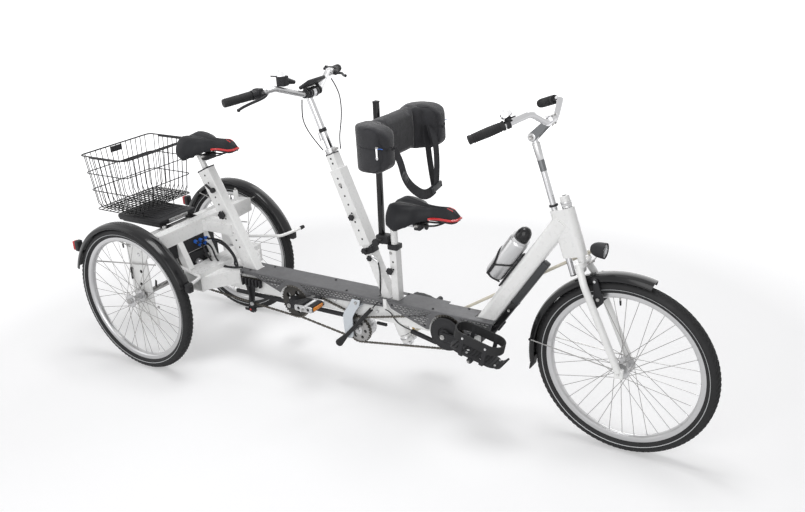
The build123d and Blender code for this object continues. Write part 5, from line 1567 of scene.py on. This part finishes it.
class TRICYCLE_OT_front_end(bpy.types.Operator):
    """Rim brakes, lamp, battery, bottle and its cage"""

    bl_idname = "tricycle.front_end"
    bl_label = "Front end"

    def execute(self, context):
        self.brakes()
        self.lamp()
        self.battery()
        self.bottle()
        return {"FINISHED"}

    def brakes(self):
        piece = Piece("rim_brakes_arms")
        arm = [(958, 556), (966, 551), (976, 552), (1002, 580), (1003, 594), (998, 606), (978, 664), (963, 664),
               (966, 620), (966, 600)]
        for side in (-1, 1):
            low, high = sorted((side * 33, side * 43))
            piece.add(plate(arm, low, high, edge=2.5), "plastic")
            piece.add(rod((968, side * 30, 566), (968, side * 46, 566), 8, sides=20, edge=1.5), "silver")
            piece.add(bolt_head((968, side * 30, 566), (0, -side, 0), 5, 3), "steel")
            piece.add(beam((996, side * 27, 595.4), (964, side * 27, 584.6), 11, 12, 3), "rubber")
            piece.add(rod((984, side * 30, 592), (984, side * 50, 592), 4, sides=14), "steel")
            piece.add(rod((984, side * 43, 592), (984, side * 49, 592), 7, sides=6, edge=0.8), "steel")
            piece.add(rod((970, side * 32, 655), (970, side * 45, 655), 5, sides=16, edge=1), "silver")
        piece.add(tube([(970, -38, 655), (968, -14, 660), (968, 14, 660), (970, 38, 655)], 1.3), "steel")
        piece.add(tube([(969, -24, 657), (968, 0, 661), (969, 22, 658)], 3.4), "rubber")
        piece.finish("fork", "black_plastic", ["rim_brakes"])

    def lamp(self):
        piece = Piece("headlight_shell")
        centre = Vector((962, 0, 757))
        shell = [(0, -24), (12, -22), (20, -14), (25, -2), (27, 12), (28, 25), (28, 30), (26, 31), (25, 27), (0, 27)]
        piece.add(turned(shell, centre, (1, 0, -0.06), 40), "plastic")
        piece.add(turned([(0, 4), (10, 6), (20, 14), (24.4, 26), (25, 26), (21, 12), (10, 3), (0, 1)], centre,
                         (1, 0, -0.06), 36), "mirror")
        piece.add(turned([(0, 31), (12, 30.6), (22, 29), (25.4, 27), (25.4, 25.6), (0, 28)], centre, (1, 0, -0.06), 40),
                  "lens")
        piece.add(rod(centre + Vector((6, 0, -2)), centre + Vector((14, 0, -2.4)), 5, 3, 14), "amber")
        piece.add(beam((962, 0, 732), (944, 0, 706), 12, 4, 1.5), "steel")
        piece.add(beam((944, 0, 708), (924, 0, 700), 16, 4, 1.5), "steel")
        piece.add(bolt_head((948, 0, 712), (0.8, 0, 0.6), 5, 4), "steel")
        piece.finish("fork", "black_plastic", ["headlight"])

    def along(self, share, out):
        run = DOWN_TUBE_HEAD - DOWN_TUBE_FOOT
        square = Vector((run.z, 0, -run.x)).normalized()
        return DOWN_TUBE_FOOT + run * share + square * out

    def battery(self):
        piece = Piece("tube_battery_cased")
        piece.add(beam(self.along(0.04, 47), self.along(0.36, 47), 31, 26, 5, 3), "gloss")
        piece.add(beam(self.along(0.36, 46.4), self.along(0.72, 46.4), 31, 27, 5, 3), "grey_case")
        piece.add(beam(self.along(0.355, 46.6), self.along(0.365, 46.6), 33, 29, 2), "rubber")
        piece.add(beam(self.along(0.12, 62), self.along(0.2, 62), 12, 6, 2), "plastic")
        piece.add(beam(self.along(0.02, 40), self.along(0.05, 40), 26, 18, 3), "plastic")
        for side in (-1, 1):
            spot = self.along(0.3, 47) + ACROSS * side * 15.6
            piece.add(bolt_head(spot, (0, side, 0), 5, 3), "steel")
        piece.finish("frame", "black_plastic", ["tube_battery"])

    def bottle(self):
        foot = self.along(0.42, -80)
        run = (DOWN_TUBE_HEAD - DOWN_TUBE_FOOT).normalized()
        piece = Piece("bottle_turned")
        body = [(0, 0), (33, 0), (36, 3), (37, 8), (37, 170), (36, 175), (33, 179), (33, 181), (34, 182), (34, 191),
                (0, 191)]
        piece.add(turned(body, foot, run, 48), "silver")
        cap = [(27, 189), (27.5, 200), (26.5, 212), (22, 225), (14, 234), (6, 237.5), (0, 238)]
        piece.add(turned([(0, 189), *cap], foot, run, 40), "gloss")
        piece.finish("frame", "silver", ["bottle"])
        cage = Piece("bottle_cage_moulded")
        base = self.along(0.38, -38)
        cage.add(beam(base, self.along(0.66, -38), 22, 7, 2.5), "plastic")
        square = Vector((run.z, 0, -run.x)).normalized()
        hold = 40.4  # from the bottle's middle to the middle of an arm
        for radius, route in (
            (5, ((-66, 4), (-66, 30), (-64, 56))),
            (3.2, ((-64, 46), (-54, 78), (-26, 102), (24, 112), (90, 104), (158, 84))),
            (3.2, ((-64, 48), (-90, 68), (-122, 80), (-158, 88))),
            (3, ((-66, 5), (-110, 3), (-150, 0))),
        ):
            turns = [(math.radians(turn), reach) for turn, reach in route]
            cage.add(tube([foot + (-math.cos(turn) * square + math.sin(turn) * ACROSS) * hold + run * reach
                           for turn, reach in turns], radius, sides=10), "plastic")
        cage.add(rod(foot - run * 7, foot - run * 1, 30, 34, 36, 2), "plastic")
        cage.finish("frame", "black_plastic", ["bottle_cage"])


class TRICYCLE_OT_fittings(bpy.types.Operator):
    """Rows of adjustment holes drawn as dark discs of painted shade, clamps, knobs, bolts and small plates on the frame
    """

    bl_idname = "tricycle.fittings"
    bl_label = "Frame fittings"

    def execute(self, context):
        self.piece = Piece("frame_fittings")
        self.mast()
        self.seats()
        self.rear_plates()
        self.controller()
        self.boom()
        self.piece.finish("frame", "black_plastic")
        return {"FINISHED"}

    def hole_shade_row(self, base, lean, heights, half_width, radius=4):
        for height in heights:
            spot = at_height(base, lean, height)
            for side in (-1, 1):
                # Each hole is a thin dark disc on the flank, painted shade standing for the hole's inside
                self.piece.add(rod(spot + ACROSS * side * (half_width - 1), spot + ACROSS * side * (half_width + 0.3),
                                   radius, sides=18), "hole")

    def knob(self, spot, radius, side=-1):
        """Star knob with six lobes on a short stem, on one flank of a tube."""
        self.piece.add(rod(spot, spot + ACROSS * side * 8, radius * 0.45, sides=16), "steel")
        lobes = []
        for k in range(48):
            turn = math.tau * k / 48
            reach = radius * (0.9 + 0.1 * math.cos(6 * turn))
            lobes.append((spot.x + reach * math.cos(turn), spot.z + reach * math.sin(turn)))
        low, high = sorted((spot.y + side * 8, spot.y + side * 20))
        self.piece.add(plate(lobes, low, high, edge=2), "plastic")

    def mast(self):
        add = self.piece.add
        self.hole_shade_row(COLUMN_BASE, COLUMN_LEAN, range(655, 905, 34), 26)
        self.hole_shade_row(COLUMN_BASE, COLUMN_LEAN, (950, 968), 20)
        along = lean_up(COLUMN_LEAN)
        top = on_column(925)
        add(beam(top - along * 3, top + along * 2, 53.5, 53.5, 3), "white")
        cap = on_column(983)
        add(beam(cap - along * 2, cap + along * 5, 41.5, 41.5, 4), "plastic")
        add(bolt_head(on_column(868) - ACROSS * 26, (0, -1, 0), 7, 5), "steel")
        self.knob(on_column(744) - ACROSS * 26, 13)
        clamp = on_column(606)
        add(beam(clamp - along * 14, clamp + along * 14, 47, 47, 4), "plastic")
        for height, ahead, size in ((612, -6, 12), (580, 6, 12)):
            self.knob(on_column(height, ahead) - ACROSS * 24, size)
        socket = on_column(584, 14) - ACROSS * 30
        add(rod(socket, socket + Vector((26, -2, -14)), 8, 6.5, 20, 1.5), "silver")
        add(rod(socket + Vector((24, -2, -13)), socket + Vector((34, -3, -19)), 6, sides=18, edge=1), "white")
        add(tube([socket + Vector((32, -3, -18)), socket + Vector((40, -4, -50)), socket + Vector((30, 4, -110)),
                  socket + Vector((22, 12, -160))], 3), "plastic")

    def seats(self):
        add = self.piece.add
        self.hole_shade_row(SEAT_TUBE_BASE, SEAT_TUBE_LEAN, (823, 791, 760, 729, 698, 667, 636, 605, 574, 542, 511), 23)
        seat_along = lean_up(SEAT_TUBE_LEAN)
        collar = on_seat_tube(847)
        add(beam(collar - seat_along * 5, collar + seat_along * 3, 48, 72, 4), "plastic")
        self.knob(on_seat_tube(655) - ACROSS * 23, 19)
        grip = on_seat_tube(757, 12) - ACROSS * 23
        add(rod(grip, grip - ACROSS * 16, 11, sides=20, edge=2), "plastic")
        add(beam(grip - ACROSS * 12, grip + Vector((-32, -16, 26)), 10, 9, 3), "plastic")
        add(rod((-905, 236, 619), (-905, 236, 668), 13, 10, 20, 2), "white")
        add(rod((-905, 236, 666), (-905, 236, 678), 6, 4, 16, 2), "steel")
        front = Vector((136, 0, 0))
        add(box((114, -22, 626), (158, 22, 648), 4), "plastic")
        add(bolt_head((128, -20, 614), (0, -1, 0), 6, 4), "steel")
        # Dark discs of painted shade stand for the insides of these holes
        for z in (577, 545):
            for side in (-1, 1):
                add(rod(front + Vector((0, side * 19, z)), front + Vector((0, side * 20.3, z)), 4, sides=18), "hole")
        self.knob(Vector((126, -20, 541)), 15)
        add(rod((284, 0, 740), (290, 0, 740), 12.4, sides=24, edge=1.5), "plastic")
        add(rod((136, 0, 722), (136, 0, 729), 18, sides=28, edge=2), "plastic")

    def rear_plates(self):
        add = self.piece.add
        for side in (-1, 1):
            face, out = side * 293, Vector((0, side, 0))
            for x, z, size, finish in ((-1013, 521, 8, "silver"), (-942, 282, 6, "steel"), (-890, 588, 7, "silver"),
                                       (-1062, 555, 6, "silver")):
                add(bolt_head((x, face, z), out, size, 4), finish)
            # Dark discs and a slot of painted shade stand for the insides of these holes
            for x, z in ((-1017, 439), (-1030, 377)):
                add(rod((x, face - side, z), (x, face + side * 0.4, z), 8, sides=22), "hole")
            add(beam((-930, face, 414), (-937, face, 382), 0.8, 12, 0.3), "hole")
            add(rod((-1073, face, 446), (-1073, face + side * 8, 446), 7, sides=18, edge=1), "plastic")
            add(beam((-1073, face + side * 6, 450), (-1075, face + side * 6, 396), 5, 9, 2), "plastic")
            add(rod((-1022, face - side * 2, 330), (-1022, face + side * 5, 330), 24, sides=6, edge=1.5), "steel")

    def controller(self):
        """Black box under the top beam, its blue cable collars, the cables that loop to the boom, the motor housing."""
        add = self.piece.add
        add(box((-915, -236, 490), (-876, 34, 556), 4), "plastic")
        for y, z in ((-88, 531), (-57, 529), (-66, 511), (-24, 529), (-32, 507), (4, 507)):
            add(rod((-880, y, z), (-862, y, z - 3), 8.5, sides=20, edge=1.5), "blue")
            add(rod((-864, y, z - 3), (-852, y, z - 6), 5, sides=16, edge=1), "plastic")
        for points in (
            ((-856, -66, 506), (-838, -62, 462), (-806, -60, 424), (-756, -56, 414), (-700, -48, 420),
             (-650, -44, 428)),
            ((-856, -32, 502), (-820, -44, 500), (-800, -50, 446), (-762, -50, 418), (-708, -48, 418),
             (-660, -46, 427)),
            ((-856, 4, 502), (-806, -36, 528), (-752, -40, 520), (-714, -40, 492), (-690, -40, 458), (-700, -42, 426),
             (-672, -44, 424)),
            ((-856, -24, 524), (-800, -30, 536), (-744, -36, 524), (-704, -38, 488), (-684, -38, 452),
             (-680, -42, 424)),
        ):
            add(tube(points, 4.4), "plastic")
        add(box((-992, -132, 396), (-868, 44, 486), 8), "plastic")
        add(box((-1000, -136, 486), (-880, 48, 492), 2), "white")
        for x in range(-972, -880, 18):
            add(box((x, -137, 404), (x + 7, -130, 478), 2), "dark_steel")
        for x, z in ((-980, 474), (-880, 474), (-980, 408), (-880, 408)):
            add(bolt_head((x, -132, z), (0, -1, 0), 6, 4), "steel")
        add(rod((-868, -96, 440), (-846, -96, 436), 16, 13, 24, 2), "silver")
        add(rod((-868, -40, 452), (-850, -40, 452), 12, sides=24, edge=2), "steel")
        add(tube([(-952, -140, 470), (-930, -150, 430), (-890, -146, 404), (-850, -130, 396)], 3.4), "steel")
        add(beam((-888, -16, 558), (-838, -16, 438), 26, 22, 4), "white")

    def boom(self):
        add = self.piece.add
        add(box((101, -58.4, 386), (117, -55.6, 428), 1), "white")
        for x, z in ((53, 353), (-157, 361)):
            for side in (-1, 1):
                add(bolt_head((x, side * 30, z), (0, side, 0), 6, 4), "silver")
        add(box((44, -34, 292), (92, -24, 304), 2), "rubber")
        for x_from, x_to in ((-716, -392), (-332, -60)):
            add(box((x_from, -36, 291), (x_to, -24, 309), 3), "plastic")
        add(rod((208, -28, 296), (326, -31, 272), 10, 9, 20, 3), "plastic")
        add(tube([(112, -59, 384), (119, -36, 366), (131, -33, 336), (164, -32, 309), (214, -30, 300)], 2.3), "plastic")
        add(beam((520, 0, 362), (522.5, 0, 362), 54, 92, 4), "plastic")


class TRICYCLE_OT_cables(bpy.types.Operator):
    """Smooth cables from the rear levers to the stem and down the mast"""

    bl_idname = "tricycle.cables"
    bl_label = "Cables"

    def execute(self, context):
        loops = Piece("rear_bar_cables_smooth")
        for route in REAR_CABLES:
            loops.add(tube(route, 2.5, sides=10), "plastic")
        loops.finish("rear_steering", "black_plastic", ["rear_bar_cables"])
        mast = Piece("mast_cable_smooth")
        route = [on_column(height) - lean_up(COLUMN_LEAN - 90) * off
                 for height, off in MAST_CABLE]
        mast.add(tube(route, 2.5, sides=10), "plastic")
        for height in (660, 780, 900):
            spot = on_column(height) - lean_up(COLUMN_LEAN - 90) * 31
            mast.add(beam(spot - lean_up(COLUMN_LEAN) * 3, spot + lean_up(COLUMN_LEAN) * 3, 10, 7, 1.5), "plastic")
        mast.finish("frame", "black_plastic", ["mast_cable"])
        return {"FINISHED"}


REAR_CABLES = (
    ((-232, 168, 1240), (-180, 140, 1205), (-146, 106, 1152), (-126, 70, 1096), (-116, 34, 1040), (-104, 22, 1000)),
    ((-204, -62, 1205), (-214, -58, 1160), (-218, -50, 1112), (-200, -38, 1064), (-172, -26, 1020), (-156, -22, 1000)),
)
# height and distance behind the column's axis
MAST_CABLE = ((975, 25), (945, 25), (915, 31), (640, 31), (610, 25), (440, 25))


class TRICYCLE_OT_frame(bpy.types.Operator):
    """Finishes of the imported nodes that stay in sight"""

    bl_idname = "tricycle.frame"
    bl_label = "Frame"

    def execute(self, context):
        dress("white", "main_frame", "steering_mast", "front_seat_tube", "rear_seat_tube", "rear_frame",
              "boom_gussets", "fork")
        dress("chrome", "front_saddle_bar", "front_handlebar", "steering_column")
        dress("silver", "rear_handlebar")
        dress("beige", "drag_link")
        return {"FINISHED"}


FLOOR_GLOW = 0.27
FLOOR_FADE = (1.9, 4.2)  # metres from the middle where the fade to white starts and ends
WORLD_LIGHT = 0.24


class TRICYCLE_OT_stage(bpy.types.Operator):
    """Pale floor, even studio light and the camera at the picture's angle"""

    bl_idname = "tricycle.stage"
    bl_label = "Stage"

    def execute(self, context):
        scene = context.scene
        scene.view_settings.view_transform = "Standard"
        self.floor(scene)
        self.lamps(scene)
        self.camera(scene)
        return {"FINISHED"}

    def floor(self, scene):
        """Round floor that goes to plain white away from the tricycle and keeps its shadow."""
        material = bpy.data.materials.new("studio_floor")
        material.use_nodes = True
        node, link = node_maker(material)
        spot = node("ShaderNodeVectorMath", operation="LENGTH")
        link(node("ShaderNodeTexCoord").outputs["Object"], spot.inputs[0])
        fade = node("ShaderNodeMapRange")
        for socket, value in (("From Min", FLOOR_FADE[0]), ("From Max", FLOOR_FADE[1]),
                              ("To Min", FLOOR_GLOW), ("To Max", 1)):
            fade.inputs[socket].default_value = value
        link(spot.outputs["Value"], fade.inputs["Value"])
        glow = node("ShaderNodeEmission")
        link(fade.outputs[0], glow.inputs["Strength"])
        lit = node("ShaderNodeBsdfDiffuse")
        lit.inputs["Color"].default_value = (0.76, 0.76, 0.77, 1)
        seen = node("ShaderNodeAddShader")
        link(glow.outputs[0], seen.inputs[0])
        link(lit.outputs[0], seen.inputs[1])
        plain = node("ShaderNodeBsdfDiffuse")
        plain.inputs["Color"].default_value = (0.8, 0.8, 0.8, 1)
        mix = node("ShaderNodeMixShader")
        link(self.looked_at(node, link), mix.inputs[0])
        link(plain.outputs[0], mix.inputs[1])
        link(seen.outputs[0], mix.inputs[2])
        link(mix.outputs[0], node("ShaderNodeOutputMaterial").inputs[0])
        shape = bmesh.new()
        bmesh.ops.create_circle(shape, cap_ends=True, segments=96, radius=40)
        mesh = bpy.data.meshes.new("floor")
        shape.to_mesh(mesh)
        shape.free()
        mesh.materials.append(material)
        floor = bpy.data.objects.new("floor", mesh)
        scene.collection.objects.link(floor)

    def looked_at(self, node, link):
        """Output that is one for what the camera, a mirror or a clear piece shows."""
        rays = node("ShaderNodeLightPath")
        seen = combined(node, link, "MAXIMUM", rays.outputs["Is Camera Ray"], rays.outputs["Is Transmission Ray"])
        return combined(node, link, "MAXIMUM", seen, rays.outputs["Is Glossy Ray"])

    def lamps(self, scene):
        for name, place, target, size, power in (
            ("lamp_top", (0.1, 0.3, 4.6), (0, 0, 0.2), 1.8, 88),
            ("lamp_key", (1.6, -4.8, 2.6), (0, 0, 0.6), 4.0, 140),
            ("lamp_fill", (-4.5, -2.0, 2.6), (0, 0, 0.6), 4.0, 55),
            ("lamp_back", (-0.6, 4.8, 3.0), (0, 0, 0.6), 4.0, 75),
        ):
            light = bpy.data.lights.new(name, "AREA")
            light.size = size
            light.energy = power
            lamp = bpy.data.objects.new(name, light)
            lamp.location = place
            lamp.rotation_euler = (Vector(target) - Vector(place)).to_track_quat("-Z", "Y").to_euler()
            scene.collection.objects.link(lamp)
        world = bpy.data.worlds.new("studio")
        scene.world = world
        world.use_nodes = True
        node, link = node_maker(world)
        plain = node("ShaderNodeBackground", Strength=WORLD_LIGHT)
        seen = node("ShaderNodeBackground", Strength=1)
        for shade in (plain, seen):
            shade.inputs["Color"].default_value = (1, 1, 1, 1)
        mix = node("ShaderNodeMixShader")
        link(self.looked_at(node, link), mix.inputs[0])
        link(plain.outputs[0], mix.inputs[1])
        link(seen.outputs[0], mix.inputs[2])
        link(mix.outputs[0], node("ShaderNodeOutputWorld").inputs[0])

    def camera(self, scene):
        azimuth, height, roll = (math.radians(a) for a in (33.704, 21.864, -3.596))
        target, distance = Vector((0.169, 0, 0.601)), 3.528
        back = Vector((math.sin(azimuth) * math.cos(height), -math.cos(azimuth) * math.cos(height), math.sin(height)))
        right = Vector((math.cos(azimuth), math.sin(azimuth), 0))
        up = back.cross(right)
        tilted_right = right * math.cos(roll) + up * math.sin(roll)
        tilted_up = up * math.cos(roll) - right * math.sin(roll)
        data = bpy.data.cameras.new("camera")
        data.sensor_width = 36
        data.lens = 40.46
        camera = bpy.data.objects.new("camera", data)
        turn = Matrix((tilted_right, tilted_up, back)).transposed().to_4x4()
        camera.matrix_world = Matrix.Translation(target + back * distance) @ turn
        scene.collection.objects.link(camera)
        scene.camera = camera


class TRICYCLE_PT_panel(bpy.types.Panel):
    """Sizes, colours and the steps that dress the tricycle"""

    bl_idname = "TRICYCLE_PT_panel"
    bl_label = "Tandem Tricycle"
    bl_space_type = "VIEW_3D"
    bl_region_type = "UI"
    bl_category = "Tricycle"

    def draw(self, context):
        for group in (context.scene.tricycle_sizes, context.scene.tricycle_colours):
            for name in group.bl_rna.properties.keys():
                if name not in ("rna_type", "name"):
                    self.layout.prop(group, name)
        for step in STEPS:
            self.layout.operator(step.bl_idname)


STEPS = (TRICYCLE_OT_stage, TRICYCLE_OT_frame, TRICYCLE_OT_wheels, TRICYCLE_OT_footboard, TRICYCLE_OT_chains,
         TRICYCLE_OT_cranks, TRICYCLE_OT_mid_drive, TRICYCLE_OT_saddles, TRICYCLE_OT_grips,
         TRICYCLE_OT_back_cushion, TRICYCLE_OT_tensioner, TRICYCLE_OT_guards, TRICYCLE_OT_basket, TRICYCLE_OT_front_end,
         TRICYCLE_OT_fittings, TRICYCLE_OT_cables)


def register():
    for item in (TricycleSizes, TricycleColours, *STEPS, TRICYCLE_PT_panel):
        bpy.utils.register_class(item)
    bpy.types.Scene.tricycle_sizes = bpy.props.PointerProperty(type=TricycleSizes)
    bpy.types.Scene.tricycle_colours = bpy.props.PointerProperty(type=TricycleColours)


def unregister():
    del bpy.types.Scene.tricycle_colours
    del bpy.types.Scene.tricycle_sizes
    for item in (TRICYCLE_PT_panel, *reversed(STEPS), TricycleColours, TricycleSizes):
        bpy.utils.unregister_class(item)


def main():
    """Registers the add-on and runs every step."""
    register()
    for step in STEPS:
        group, name = step.bl_idname.split(".")
        getattr(getattr(bpy.ops, group), name)()


if __name__ == "__main__":
    main()
